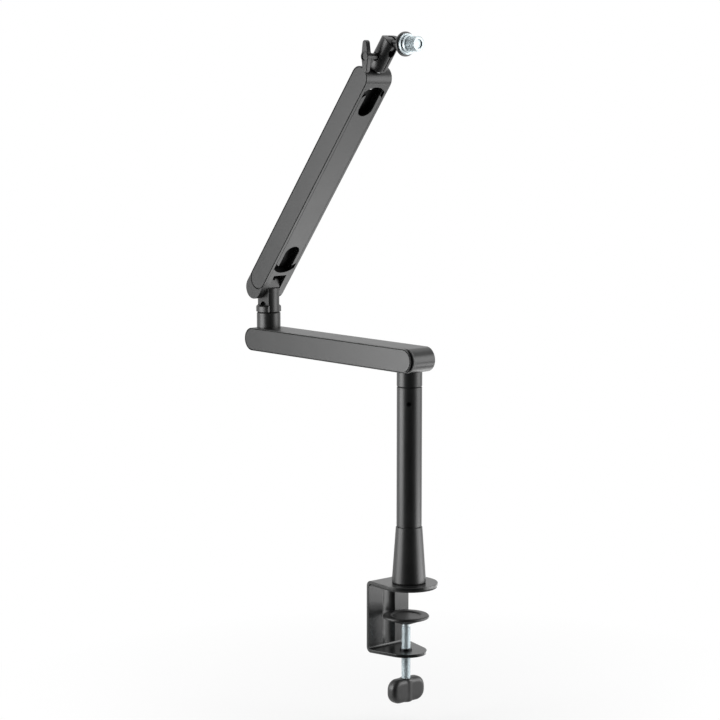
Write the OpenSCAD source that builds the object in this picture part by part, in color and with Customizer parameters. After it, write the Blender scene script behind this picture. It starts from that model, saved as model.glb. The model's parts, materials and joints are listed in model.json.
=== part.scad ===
// Microphone boom arm with a desk clamp, riser, two box arms and a ball head
// The origin is on the riser's axis, on the desk's surface; Z points up.
// X runs from the clamp's back toward the desk, and Y points to the arms' far side.

/* [Clamp] */
// Thickness of the rubber under the top plate
grip_t = 1.5; // [1:0.1:3]
// Thickness of the bent clamp plate
plate_t = 3.5; // [3:0.1:5]
// Radius of the round top plate
disc_r = 31; // [29:0.5:36]
// Radius of the round end of the bottom plate
tongue_r = 22.5; // [19:0.5:26]
// Width of the clamp's back
back_w = 58; // [48:1:64]
// Distance from the riser's axis to the outside of the clamp's back
back_x = 36; // [33:0.5:44]
// Outside radius of the plate's bends
bend_r = 6; // [5:0.5:8]
// Open height of the jaw, from the desk's surface to the bottom plate
jaw_h = 70.5; // [60:0.5:80]
// Distance of the clamp screw behind the riser's axis
screw_dx = 4.5; // [0:0.5:8]
// Depth of the stiffening bead in the clamp's back
bead_d = 2.6; // [1:0.1:3]
// Width of the stiffening bead
bead_w = 17.4; // [12:0.2:22]

/* [Clamp screw] */
// Diameter of the clamp screw
screw_d = 10; // [8:0.5:12]
// Pitch of the clamp screw
screw_pitch = 1.5; // [1:0.25:2]
// Height of the pressure pad's rim below the desk's underside face
pad_top = 31.5; // [28:0.5:36]
// Diameter of the pressure pad
pad_d = 50; // [44:1:56]
// Height of the pressure pad
pad_h = 9.3; // [9:0.1:12]
// Diameter of the ball that the pad swivels on
pad_ball_d = 9; // [8.5:0.1:9.4]
// Height of the knob's top below the desk's underside face
knob_top = 100; // [94:1:110]
// Width of the knob
knob_w = 46; // [40:1:52]
// Height of the knob
knob_h = 27.5; // [24:0.5:32]
// Thickness of the knob
knob_t = 14; // [13:0.5:18]

/* [Riser] */
// Diameter of the riser tube
tube_d = 27; // [26:0.1:30]
// Wall of the riser tube
tube_wall = 2.5; // [2:0.1:3]
// Length of the riser tube
tube_l = 150; // [100:1:220]
// Height of the tapered foot
foot_h = 60; // [50:1:80]
// Diameter of the tapered foot at its bottom
foot_d = 36.8; // [34:0.2:42]
// Diameter of the tapered foot at its top
foot_top_d = 28.4; // [28:0.2:31]
// Thickness of the washer under the foot
foot_washer_t = 0.8; // [0.6:0.1:2]
// Diameter of the bolt that holds the foot
foot_bolt_d = 8; // [6:0.5:10]
// Height of the dark grooves at the swivels
groove_h = 1; // [0.8:0.1:1.5]
// Distance of the tension screw below the tube's top
tension_dz = 17; // [12:0.5:22]
// Diameter of the tension screw
tension_d = 5; // [4:0.5:6]

/* [Arms] */
// Height of both arms in their side view
arm_h = 26; // [26:0.5:30]
// Width of both arms, over the side plates
arm_w = 35; // [35:0.5:40]
// Thickness of the side plates
side_t = 3; // [2.5:0.1:3.5]
// Step from the arm's edge down to the side plate's edge
side_step = 0.3; // [0.2:0.1:0.8]
// Wall of the arms' frames
wall = 2.5; // [2:0.1:3]
// Thickness of the cable covers
cover_t = 2.5; // [2:0.1:3]
// Gap round the cable covers
cover_gap = 0.3; // [0.2:0.05:0.5]
// Radius of the curved ends of the cable covers
cover_arc = 19; // [18:0.5:26]
// Width of the crescent slots at the cable covers' ends
crescent = 7.8; // [6:0.2:10]
// Width of the U slots in the cable covers
slot_w = 19; // [12:0.5:20]

/* [Lower arm] */
// Distance between the riser's and the elbow's upright axes
lower_l = 240; // [200:1:300]
// Distance from the riser's axis to the centre of the arm's round end
lower_end_riser = 11.5; // [10:0.5:16]
// Distance from the elbow's axis to the centre of the arm's round end
lower_end_elbow = 9; // [8:0.5:14]
// Setback of the side plates at the riser's end
side_setback = 3.8; // [2:0.1:6]
// Height of the collar between the riser and the lower arm
collar_h = 15.6; // [10:0.2:24]

/* [Elbow] */
// Height of the collar on top of the lower arm
elbow_collar_h = 17; // [12:0.5:24]
// Height of the ring at the foot of the elbow post
ring_h = 8; // [6:0.5:12]
// Diameter of the ring at the foot of the elbow post
ring_d = 28.4; // [27:0.2:30]
// Diameter of the elbow post
post_d = 25; // [24:0.2:25.4]
// Thickness of the elbow post's tongue
tongue_t = 16; // [14:0.2:16.5]
// Thickness of each friction washer beside the tongue
tilt_washer_t = 0.75; // [0.6:0.05:1.2]
// Height of the tilt pin above the ring's top
pin_dz = 23.3; // [22:0.1:30]
// Diameter of the tilt pin
pin_d = 6; // [5:0.2:6.4]
// Radius of the tongue's round head
head_r = 10; // [9.8:0.1:12]
// Height of the spring's pin above the tilt pin
spring_lever = 6.6; // [6.5:0.1:7]

/* [Upper arm] */
// Lean of the upper arm from upright
arm_lean = 38; // [0:1:80]
// Distance between the centres of the upper arm's round ends
upper_l = 299.5; // [260:0.5:360]
// Distance from the round end's centre to the tilt pin, along the arm
pin_along = 6; // [5:0.5:8]
// Distance from the arm's middle to the tilt pin, toward the underside
pin_across = 3; // [2:0.1:3.4]
// Reach of the fork slot from the round end's centre
fork_l = 28; // [26:0.5:34]
// Thickness of the bridge between the fork slot and the cable slot
bridge_t = 4.6; // [3:0.2:8]
// Centre of the side plate's round lower end, along the arm
side_start = 14.2; // [13.5:0.1:18]

/* [Spring] */
// Outer diameter of the spring
spring_d = 11; // [9:0.2:11.2]
// Diameter of the spring's wire
spring_wire = 1.8; // [1.4:0.1:2.2]
// Diameter of the spring's pin in the upper arm
spring_pin_d = 5; // [4:0.2:6]

/* [Head] */
// Diameter of the ball socket
socket_d = 21; // [20.6:0.1:24]
// Distance from the arm's round end to the socket
socket_gap = 1; // [0.6:0.1:2]
// Distance from the arm's end centre to the ball's centre
ball_along = 45.1; // [44:0.1:60]
// Distance from the arm's end centre to the wing screw
wing_along = 29; // [28:0.5:32]
// Diameter of the ball
ball_d = 16; // [14:0.2:16.4]
// Width of the socket's slit
slit_w = 1; // [0.6:0.1:1.4]
// Diameter of the stem behind the flange
stem_d = 7.6; // [7:0.1:9]
// Distance from the ball's centre to the front of the black flange
flange_x = 27.1; // [24:0.1:34]
// Diameter of the black flange
flange_d = 26; // [22:0.5:30]
// Thickness of the black flange
flange_t = 3.2; // [2:0.1:5]
// Diameter of the wing screw's shaft
wing_shaft_d = 7; // [5:0.2:7.4]
// Height of the wings, tip to tip
wing_h = 34; // [28:1:34]
// Thickness of the wings
wing_t = 6; // [4:0.5:8]
// Gap between the wings and the socket's side
wing_gap = 9.5; // [9:0.5:14]

/* [Microphone thread] */
// Outer diameter of the microphone thread
mic_d = 15.875; // [15.8:0.005:16]
// Length of the microphone thread
mic_l = 12.3; // [10:0.1:18]
// Diameter of the bore in the thread adapter
mic_bore_d = 9.6; // [9.5:0.05:10]
// Diameter of the adapter's flange
adapter_d = 22; // [20:0.5:26]
// Thickness of the adapter's flange
adapter_t = 3.7; // [2:0.1:5]
// Diameter of the adapter's step
step_d = 18.5; // [17:0.5:20]
// Length of the adapter's step
step_l = 3.8; // [2:0.1:5]

/* [Hidden] */
$fn = 96;
run = 0.04;                     // radial clearance of a running fit
seat = 0.02;                    // radial clearance of a pressed or screwed fit
cut = 1;                        // overshoot of a cutting shape

// heights of the stack on the riser's axis
plate_z = grip_t;
plate_top = plate_z + plate_t;
foot_z = plate_top + foot_washer_t;
foot_top = foot_z + foot_h;
tube_z = foot_top + groove_h;
tube_top = tube_z + tube_l;
collar_z = tube_top + groove_h;
arm_z = collar_z + collar_h;
arm_mid = arm_z + arm_h / 2;
arm_top = arm_z + arm_h;

// plate and clamp
back_in = back_x - plate_t;
low_top = -jaw_h;
low_z = low_top - plate_t;
grip_inset = 0.8;
bead_r = (pow(bead_w / 2, 2) + pow(bead_d, 2)) / (2 * bead_d);
csk_d = 15;
insert_d = 13;
insert_flange_d = 18;
insert_flange_t = 1.5;
insert_l = 7;

// riser
tube_r = tube_d / 2;
bore_r = tube_r - tube_wall;
groove_r = tube_r - 1.1;
bush_wall = 2;
spigot_r = bore_r - bush_wall;
spigot_l = 30;
bush_l = spigot_l;
tension_z = tube_top - tension_dz;
tension_rim = 0.6;              // depth of the tension screw below the surface
rim_d = 1;                      // depth of the spigot's ring groove
rim_h = tension_d + 1;
boss_r = 8;
boss_l = 17.6;

// arms
r = arm_h / 2;
half = arm_w / 2;
core = half - side_t;
inner = core - wall;
side_r = r - side_step;
back_wall = 3;
rebate = r - cover_t;
web_w = 2;                      // where the channel floor starts, from the arm's middle
web_t = 1;
stud_r = 2;
stud_l = wall - 0.3;
lock_d = 5;

// lower arm
riser_block = 15;
elbow_block = 16;
lower_a = -lower_l + elbow_block + bridge_t;
lower_b = -riser_block - bridge_t;

// elbow
elbow_collar_z = arm_top;
elbow_groove_z = elbow_collar_z + elbow_collar_h;
ring_z = elbow_groove_z + groove_h;
ring_top = ring_z + ring_h;
pin_z = ring_top + pin_dz;
crease_z = pin_z - 3.3;         // top of the post's column, under the tongue's head
post_r = post_d / 2;
post_bore = 8;                  // radius of the post's spigot
post_bush_wall = 1;
housing_boss_r = 11;
housing_boss_l = 10;
shelf_t = 2;                    // wall that the post's washer pulls against
keeper_t = 2;
keeper_r = 11;
keeper_gap = 0.2;
access_r = 12;
plug_t = 3;
keeper_bolt_d = 6;
scallop_r = 4.8;                // round dip where the ring meets the post's flat
scallop_in = 0.4;                // how far its centre lies inside the flat
scallop_drop = 0.5;
ear_half = 10.5;                // half width of the two ears on the ring
fork_half = tongue_t / 2 + tilt_washer_t + 0.05;
tilt_bush_wall = 1;
spring_slot = 5;
post_pin_d = 3;

// upper arm, measured along and across from its lower round end's centre
slot_a = fork_l + bridge_t;
cheek_gap = 0.15;               // gap between the cheek and the side plate's round end
slot_b = upper_l - 2.5;
end_block = upper_l - 3.5;
spring_w = -3.9;                // the spring's axis, from the arm's middle
near_pin = [pin_across - spring_lever * sin(arm_lean), pin_along + spring_lever * cos(arm_lean)];
far_pin = [spring_w, upper_l - 16];

// head
socket_r = socket_d / 2;
ball_r = ball_d / 2;
ball_s = upper_l + ball_along;
wing_s = upper_l + wing_along;
socket_s = upper_l + r + socket_gap;
socket_round = 1.6;
washer_s = socket_s - 2.2;
washer_r = 6.5;
head_bolt_d = 8;
head_bolt_head = 13;
head_bolt_head_t = 5;
bolt_seat = 1.6;                // washer and gap between the bolt's head and the block
stem_slot = stem_d / 2 + 0.35;

// where the upper arm's lower end centre and the ball lie in the object's frame
lean_s = [sin(arm_lean), 0, cos(arm_lean)];
lean_w = [cos(arm_lean), 0, -sin(arm_lean)];
pin_at = [-lower_l, 0, pin_z];
end_at = pin_at - lean_s * pin_along - lean_w * pin_across;
ball_at = end_at + lean_s * ball_s;
wing_at = end_at + lean_s * wing_s;

black = "#3b3d3c";
plastic = "#262828";
zinc = "#c3c9cb";
steel = "#9a9ea0";
nylon = "#d8d5c8";

// Shared shapes

// a bar with round ends, seen from the side: from a to b, half height h
module bar(a, b, h) {
    translate([a, -h]) square([b - a, 2 * h]);
    translate([a, 0]) circle(h);
    translate([b, 0]) circle(h);
}

// stands a drawing of (along, across) up in the XZ plane, between two Y values
module side_on(y0, y1) {
    translate([0, y1, 0]) rotate([90, 0, 0]) linear_extrude(y1 - y0) children();
}

// a cylinder along Y through the point (x, z)
module across_y(x, z, rad, y0, y1) {
    translate([x, y0, z]) rotate([-90, 0, 0]) cylinder(h = y1 - y0, r = rad);
}

// the frame's opening for a cable cover: along from a to b, with concave arcs at both ends
module cover_hole(a, b) {
    intersection() {
        union() {
            translate([a + cover_arc, 0]) circle(cover_arc);
            translate([b - cover_arc, 0]) circle(cover_arc);
            translate([a + cover_arc, -cover_arc]) square([b - a - 2 * cover_arc, 2 * cover_arc]);
        }
        translate([a - cut, -core]) square([b - a + 2 * cut, 2 * core]);
    }
}

// the cable cover's outline, with a U slot at each end
module cover_plan(a, b) {
    a1 = a + crescent;
    b1 = b - crescent;
    u_in = cover_arc + 2.6;
    difference() {
        intersection() {
            union() {
                translate([a1 + cover_arc, 0]) circle(cover_arc);
                translate([b1 - cover_arc, 0]) circle(cover_arc);
                translate([a1 + cover_arc, -cover_arc])
                    square([b1 - a1 - 2 * cover_arc, 2 * cover_arc]);
            }
            translate([a1 - cut, -core + cover_gap])
                square([b1 - a1 + 2 * cut, 2 * core - 2 * cover_gap]);
        }
        translate([a1 + u_in, 0]) circle(slot_w / 2);
        translate([a1 - cut, -slot_w / 2]) square([u_in + cut, slot_w]);
        translate([b1 - u_in, 0]) circle(slot_w / 2);
        translate([b1 - u_in, -slot_w / 2]) square([u_in + cut, slot_w]);
    }
}

// a cable cover lying on z = 0 with its snap ribs above it
module cover(a, b) {
    linear_extrude(cover_t) cover_plan(a, b);
    rib_a = a + crescent + 2 * cover_arc;
    rib_b = b - crescent - 2 * cover_arc;
    for (y = [-inner + 0.2, inner - 1.2])
        translate([rib_a, y, cover_t]) cube([rib_b - rib_a, 1, 2]);
}

// the studs of a side plate, along the arm
module studs(list, z, y0, y1, rad) {
    for (x = list) across_y(x, z, rad, y0, y1);
}

// puts a shape drawn in the arm's own frame on the leaning upper arm:
// x across toward the underside, y as in the object, z along from the lower end's centre
module on_upper() {
    translate(end_at) rotate([0, arm_lean, 0]) children();
}

// stands a drawing of (along, across) on the upper arm, between two Y values
module upper_side_on(y0, y1) {
    rotate([0, -90, 0]) mirror([0, 0, 1]) translate([0, y1, 0]) rotate([90, 0, 0])
        linear_extrude(y1 - y0) children();
}

// Clamp

// a plate that runs from the bend line to a disc, with its sides straight onto the disc
module plate_plan(x, rad, inset) {
    away = back_x - bend_r + x;
    turn = acos(rad / norm([away, back_w / 2])) - atan2(away, back_w / 2);
    intersection() {
        union() {
            translate([x, 0]) circle(rad - inset);
            polygon([[-back_x + bend_r, -back_w / 2 + inset],
                [x + (rad - inset) * sin(turn), -(rad - inset) * cos(turn)],
                [x + (rad - inset) * sin(turn), (rad - inset) * cos(turn)],
                [-back_x + bend_r, back_w / 2 - inset]]);
        }
        translate([-back_x + bend_r, -disc_r - back_w])
            square([back_x + x + 2 * disc_r, 2 * disc_r + 2 * back_w]);
    }
}

module back_section() {
    low = low_z + bend_r;
    high = plate_top - bend_r;
    translate([-back_x, low]) square([plate_t, high - low]);
    for (z = [low, high]) intersection() {
        translate([-back_x + bend_r, z]) difference() {
            circle(bend_r);
            circle(bend_r - plate_t);
        }
        translate([-back_x, z == low ? z - bend_r : z]) square([bend_r, bend_r]);
    }
}

module clamp_bracket() color(black) {
    bead_low = low_z + bend_r;
    bead_high = plate_top - bend_r;
    difference() {
        union() {
            translate([0, 0, plate_z]) linear_extrude(plate_t) plate_plan(0, disc_r, 0);
            translate([0, 0, low_z]) linear_extrude(plate_t) plate_plan(-screw_dx, tongue_r, 0);
            side_on(-back_w / 2, back_w / 2) back_section();
            intersection() {
                translate([-back_in + bead_r - bead_d, 0, bead_low])
                    cylinder(h = bead_high - bead_low, r = bead_r + plate_t);
                translate([-back_in - bead_d - plate_t - cut, -bead_w, bead_low])
                    cube([bead_d + plate_t + cut, 2 * bead_w, bead_high - bead_low]);
            }
        }
        translate([-back_in + bead_r - bead_d, 0, bead_low])
            intersection() {
                cylinder(h = bead_high - bead_low, r = bead_r);
                translate([-bead_r - cut, -bead_w / 2, 0])
                    cube([bead_d + cut, bead_w, bead_high - bead_low]);
            }
        translate([0, 0, plate_z])
            cylinder(h = plate_t, r1 = csk_d / 2 + seat, r2 = foot_bolt_d / 2 + seat);
        translate([-screw_dx, 0, low_z - cut]) cylinder(h = plate_t + 2 * cut, r = insert_d / 2);
    }
}

module top_grip_pad() color(plastic) {
    linear_extrude(grip_t) plate_plan(0, disc_r, grip_inset);
}

module clamp_insert() color(zinc) {
    translate([-screw_dx, 0, 0]) difference() {
        union() {
            translate([0, 0, low_z - insert_flange_t])
                cylinder(h = insert_flange_t, r = insert_flange_d / 2);
            translate([0, 0, low_z]) cylinder(h = insert_l - insert_flange_t, r = insert_d / 2);
        }
        translate([0, 0, low_z - insert_flange_t - cut])
            cylinder(h = insert_l + 2 * cut, r = screw_d / 2 + 0.08);
    }
}

// Riser

module foot_bolt() color(steel) {
    difference() {
        union() {
            translate([0, 0, plate_z]) cylinder(h = plate_t, r1 = csk_d / 2, r2 = foot_bolt_d / 2);
            translate([0, 0, plate_top]) cylinder(h = foot_washer_t + 34, r = foot_bolt_d / 2);
        }
        translate([0, 0, plate_z - cut]) cylinder(h = 2.5 + cut, r = 2.9, $fn = 6);
    }
}

module foot_washer() color(plastic) {
    translate([0, 0, plate_top]) difference() {
        cylinder(h = foot_washer_t, r = foot_d / 2 - 1.4);
        translate([0, 0, -cut]) cylinder(h = foot_washer_t + 2 * cut, r = foot_bolt_d / 2 + 0.3);
    }
}

module riser_foot() color(black) {
    difference() {
        union() {
            translate([0, 0, foot_z]) cylinder(h = foot_h, r1 = foot_d / 2, r2 = foot_top_d / 2);
            translate([0, 0, foot_top]) cylinder(h = groove_h, r = groove_r);
            translate([0, 0, tube_z]) cylinder(h = 25, r = bore_r - seat);
        }
        translate([0, 0, foot_z - cut]) cylinder(h = 38 + cut, r = foot_bolt_d / 2 + seat);
    }
}

module riser_tube() color(black) {
    difference() {
        rotate_extrude() polygon([[bore_r, tube_z], [tube_r - 0.5, tube_z], [tube_r, tube_z + 0.5],
            [tube_r, tube_top - 0.5], [tube_r - 0.5, tube_top], [bore_r, tube_top]]);
        translate([0, 0, tension_z]) rotate([0, 0, -45]) rotate([0, 90, 0])
            cylinder(h = tube_r + cut, r = tension_d / 2 + seat);
    }
}

module riser_bush() color(nylon) {
    difference() {
        union() {
            translate([0, 0, tube_top - bush_l]) cylinder(h = bush_l, r = bore_r - seat);
            translate([0, 0, tube_top]) cylinder(h = groove_h - 0.05, r = groove_r);
        }
        translate([0, 0, tube_top - bush_l - cut])
            cylinder(h = bush_l + groove_h + 2 * cut, r = spigot_r + run);
        translate([0, 0, tension_z]) rotate([0, 0, -45]) rotate([0, 90, 0])
            cylinder(h = tube_r, r = tension_d / 2 + seat);
    }
}

module tension_screw() color(steel) {
    tip = spigot_r - rim_d + 0.15;
    translate([0, 0, tension_z]) rotate([0, 0, -45]) rotate([0, 90, 0]) difference() {
        translate([0, 0, tip]) cylinder(h = tube_r - tension_rim - tip, r = tension_d / 2);
        translate([0, 0, tube_r - tension_rim - 2]) cylinder(h = 2 + cut, r = 1.45, $fn = 6);
    }
}

// Clamp screw

knob_grip = 18;                 // how far the screw reaches into the knob
knob_pin_dz = 11;               // height of the knob's pin in it, below its top's plane
knob_pin_r = 1.5;
ball_dz = 7;                    // depth of the ball's centre in the pad
neck_l = 1.6;                   // the screw's thin end under the pad
nose_l = 1;                     // the screw's cone
ball_z = -pad_top - ball_dz;
ball_flat = 2.4;
neck_r = 3;
collar_r = 3.5;                 // under and over the ball, wider than its hole
screw_shoulder = -pad_top - pad_h - neck_l;

module swivel_ball() color(steel) {
    translate([-screw_dx, 0, ball_z]) difference() {
        intersection() {
            sphere(pad_ball_d / 2);
            translate([0, 0, -ball_flat]) cylinder(h = 2 * ball_flat, r = pad_ball_d);
        }
        translate([0, 0, -pad_ball_d]) cylinder(h = 2 * pad_ball_d, r = neck_r + run);
    }
}

module clamp_screw() color(zinc) {
    translate([-screw_dx, 0, 0]) difference() {
        union() {
            translate([0, 0, -knob_top - knob_grip])
                cylinder(h = knob_top + knob_grip + screw_shoulder - nose_l, r = screw_d / 2);
            translate([0, 0, screw_shoulder - nose_l])
                cylinder(h = nose_l, r1 = screw_d / 2, r2 = screw_d / 2 - nose_l);
            translate([0, 0, screw_shoulder])
                cylinder(h = ball_z - ball_flat - screw_shoulder, r = collar_r);
            translate([0, 0, ball_z - ball_flat]) cylinder(h = 2 * ball_flat, r = neck_r);
            translate([0, 0, ball_z + ball_flat + 0.05]) cylinder(h = 0.45, r = collar_r - 0.2);
            translate([0, 0, ball_z + ball_flat]) cylinder(h = 0.05, r = neck_r);
        }
        across_y(0, -knob_top - knob_pin_dz, knob_pin_r + seat, -screw_d, screw_d);
    }
}

module knob_pin() color(steel) {
    across_y(-screw_dx, -knob_top - knob_pin_dz, knob_pin_r, -0.9 * screw_d, 0.9 * screw_d);
}

module clamp_knob() color(plastic) {
    side = knob_w / 2 - knob_t / 2;
    corner = 9;
    translate([-screw_dx, 0, -knob_top - knob_h]) difference() {
        intersection() {
            union() {
                for (y = [-side, side]) translate([0, y, 0]) cylinder(h = knob_h, r = knob_t / 2);
                translate([-knob_t / 2, -side, 0]) cube([knob_t, 2 * side, knob_h]);
                cylinder(h = knob_h, r = knob_t / 2 + 1.6);
            }
            translate([-knob_t, 0, knob_h / 2]) rotate([90, 0, 90]) linear_extrude(2 * knob_t) {
                square([knob_w - 2 * corner, knob_h], center = true);
                square([knob_w, knob_h - 2 * corner], center = true);
                for (y = [-1, 1], z = [-1, 1])
                    translate([y * (knob_w / 2 - corner), z * (knob_h / 2 - corner)]) circle(corner);
            }
        }
        translate([0, 0, knob_h - knob_grip]) cylinder(h = knob_grip + cut, r = screw_d / 2 + seat);
        across_y(0, knob_h - knob_pin_dz, knob_pin_r + seat, -0.9 * screw_d, 0.9 * screw_d);
        translate([0, 0, knob_h - 1]) cylinder(h = 1 + cut, r = screw_d / 2 + 0.8);
    }
}

module pressure_pad() color(plastic) {
    pr = pad_d / 2;
    translate([-screw_dx, 0, -pad_top]) difference() {
        rotate_extrude() polygon([[0, -1.5], [14.5, -1.5], [16.5, -0.4], [18, 0], [pr - 1.2, 0],
            [pr - 0.3, -0.4], [pr, -1.3], [pr, -3], [pr - 0.5, -3.6], [pr - 3, -4.2],
            [14.5, -6.2], [13.6, -7.2], [10, -7.9], [8.2, -pad_h + 0.4], [7.8, -pad_h], [0, -pad_h]]);
        translate([0, 0, -ball_dz]) sphere(pad_ball_d / 2 + run);
        translate([0, 0, -pad_h - cut]) cylinder(h = cut + 1, r = 4.1);
    }
}

// Lower arm

module swivel_post() color(black) {
    rotate_extrude() polygon([[0, tube_top - spigot_l], [spigot_r - 1, tube_top - spigot_l],
        [spigot_r, tube_top - spigot_l + 1], [spigot_r, tension_z - rim_h / 2],
        [spigot_r - rim_d, tension_z - rim_h / 2], [spigot_r - rim_d, tension_z + rim_h / 2],
        [spigot_r, tension_z + rim_h / 2], [spigot_r, collar_z], [tube_r - 0.4, collar_z],
        [tube_r + 0.1, collar_z + 0.5], [tube_r + 0.1, arm_z], [boss_r - seat, arm_z],
        [boss_r - seat, arm_z + boss_l], [0, arm_z + boss_l]]);
}

module post_lock_screw() color(steel) {
    translate([-riser_block, 0, arm_z + 9]) rotate([0, 90, 0])
        cylinder(h = riser_block - boss_r, r = lock_d / 2);
}

module lower_frame() color(black) {
    x0 = -lower_l - lower_end_elbow;
    x1 = lower_end_riser;
    ca = -lower_l + elbow_block;
    cb = -riser_block;
    difference() {
        translate([0, 0, arm_mid]) side_on(-core, core) bar(x0, x1, r);
        translate([ca, -inner, arm_z - cut]) cube([cb - ca, 2 * inner, arm_h - back_wall + cut]);
        translate([0, 0, arm_z - cut]) linear_extrude(cover_t + cut) cover_hole(lower_a, lower_b);
        translate([0, 0, arm_z - cut]) cylinder(h = 18 + cut, r = boss_r);
        translate([-riser_block - cut, 0, arm_z + 9]) rotate([0, 90, 0])
            cylinder(h = riser_block + cut, r = lock_d / 2 + seat);
        translate([-lower_l, 0, arm_top - housing_boss_l])
            cylinder(h = housing_boss_l + cut, r = housing_boss_r);
        translate([-lower_l, 0, arm_z - cut])
            cylinder(h = arm_h, r = post_bore + 0.4);
        translate([-lower_l, 0, arm_z - cut])
            cylinder(h = arm_h - housing_boss_l - shelf_t + cut, r = access_r);
        studs(lower_studs, arm_mid, -core - cut, core + cut, stud_r + seat);
    }
}
lower_studs = [-lower_l + 40, -lower_l * 0.5, -40];

module lower_side(sgn) {
    y0 = sgn > 0 ? core : -half;
    s0 = sgn > 0 ? core - stud_l : -core;
    translate([0, 0, arm_mid]) side_on(y0, y0 + side_t)
        bar(-lower_l - lower_end_elbow, lower_end_riser - side_setback, side_r);
    studs(lower_studs, arm_mid, s0, s0 + stud_l, stud_r);
}
module lower_side_near() color(black) lower_side(-1);
module lower_side_far() color(black) lower_side(1);

module lower_cable_cover() color(black) {
    translate([0, 0, arm_z]) cover(lower_a, lower_b);
}

// Elbow

module elbow_housing() color(black) {
    z0 = arm_top - housing_boss_l;
    translate([-lower_l, 0, 0]) difference() {
        rotate_extrude() polygon([[post_bore + post_bush_wall, z0], [housing_boss_r - seat, z0],
            [housing_boss_r - seat, arm_top], [tube_r, arm_top], [tube_r, elbow_groove_z - 0.5],
            [tube_r - 0.5, elbow_groove_z], [post_bore + post_bush_wall, elbow_groove_z]]);
    }
}

module elbow_bush() color(nylon) {
    z0 = arm_top - housing_boss_l + 1;
    translate([-lower_l, 0, 0]) difference() {
        union() {
            translate([0, 0, z0]) cylinder(h = elbow_groove_z - z0, r = post_bore + post_bush_wall - seat);
            translate([0, 0, elbow_groove_z]) cylinder(h = groove_h - 0.05, r = groove_r + 0.2);
        }
        translate([0, 0, z0 - cut])
            cylinder(h = housing_boss_l + elbow_collar_h + groove_h + 2 * cut, r = post_bore + run);
    }
}

module access_plug() color(plastic) {
    translate([-lower_l, 0, arm_z]) {
        cylinder(h = plug_t, r = access_r - 0.05);
    }
}

module elbow_post() color(black) {
    z0 = arm_top - housing_boss_l - shelf_t - keeper_gap;
    translate([-lower_l, 0, 0]) difference() {
        union() {
            translate([0, 0, z0]) cylinder(h = ring_z - z0, r = post_bore);
            intersection() {
                union() {
                    translate([0, 0, ring_z]) cylinder(h = ring_h - 1.5, r = ring_d / 2);
                    translate([0, 0, ring_top - 1.5])
                        cylinder(h = 1.5, r1 = ring_d / 2, r2 = ring_d / 2 - 1.5);
                }
                union() {
                    cylinder(h = ring_top, r = post_r);
                    for (sy = [-1, 1]) translate([-ear_half, sy > 0 ? 0 : -ring_d, 0])
                        cube([2 * ear_half, ring_d, ring_top]);
                }
            }
            intersection() {
                translate([0, 0, ring_z]) cylinder(h = crease_z - ring_z, r = post_r);
                translate([-post_d, -tongue_t / 2, ring_z]) cube([2 * post_d, tongue_t, pin_z]);
            }
            across_y(0, pin_z, head_r, -tongue_t / 2, tongue_t / 2);
        }
        across_y(0, pin_z, pin_d / 2 + tilt_bush_wall, -tongue_t, tongue_t);
        translate([-post_d, -spring_slot / 2, pin_z + pin_d / 2 + 0.1])
            cube([2 * post_d, spring_slot, post_r]);
        across_y(0, pin_z + spring_lever, post_pin_d / 2 + seat, -tongue_t, tongue_t);
        translate([0, 0, z0 - cut]) cylinder(h = 18 + cut, r = keeper_bolt_d / 2 + seat);
        translate([0, scallop_in - tongue_t / 2, ring_top - scallop_drop]) sphere(scallop_r);
    }
}

module elbow_keeper_washer() color(steel) {
    z0 = arm_top - housing_boss_l - shelf_t - keeper_gap - keeper_t;
    translate([-lower_l, 0, z0]) difference() {
        cylinder(h = keeper_t, r = keeper_r);
        translate([0, 0, -cut]) cylinder(h = keeper_t + 2 * cut, r = keeper_bolt_d / 2 + 0.2);
    }
}

module elbow_keeper_screw() color(steel) {
    z0 = arm_top - housing_boss_l - shelf_t - keeper_gap - keeper_t;
    translate([-lower_l, 0, z0]) difference() {
        union() {
            translate([0, 0, -4]) cylinder(h = 4, r = 5.2);
            cylinder(h = 16, r = keeper_bolt_d / 2);
        }
        translate([0, 0, -4 - cut]) cylinder(h = 2.4 + cut, r = 2.3, $fn = 6);
    }
}

module tilt_bush() color(nylon) {
    translate([-lower_l, 0, 0]) difference() {
        across_y(0, pin_z, pin_d / 2 + tilt_bush_wall - seat, -tongue_t / 2, tongue_t / 2);
        across_y(0, pin_z, pin_d / 2 + run, -tongue_t, tongue_t);
        translate([-post_d, -spring_slot / 2, pin_z + pin_d / 2 + 0.1])
            cube([2 * post_d, spring_slot, post_r]);
    }
}

module post_spring_pin() color(steel) {
    across_y(-lower_l, pin_z + spring_lever, post_pin_d / 2, -tongue_t / 2 + 0.3, tongue_t / 2 - 0.3);
}

// Upper arm

module tilt_washers() color(nylon) {
    for (y = [-fork_half + 0.02, fork_half - tilt_washer_t - 0.02]) difference() {
        across_y(-lower_l, pin_z, 9, y, y + tilt_washer_t);
        across_y(-lower_l, pin_z, pin_d / 2 + 0.15, y - cut, y + tilt_washer_t + cut);
    }
}

module tilt_pin() color(steel) {
    across_y(-lower_l, pin_z, pin_d / 2, -core, core);
}

upper_studs = [60, upper_l * 0.5, upper_l - 45];

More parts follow.
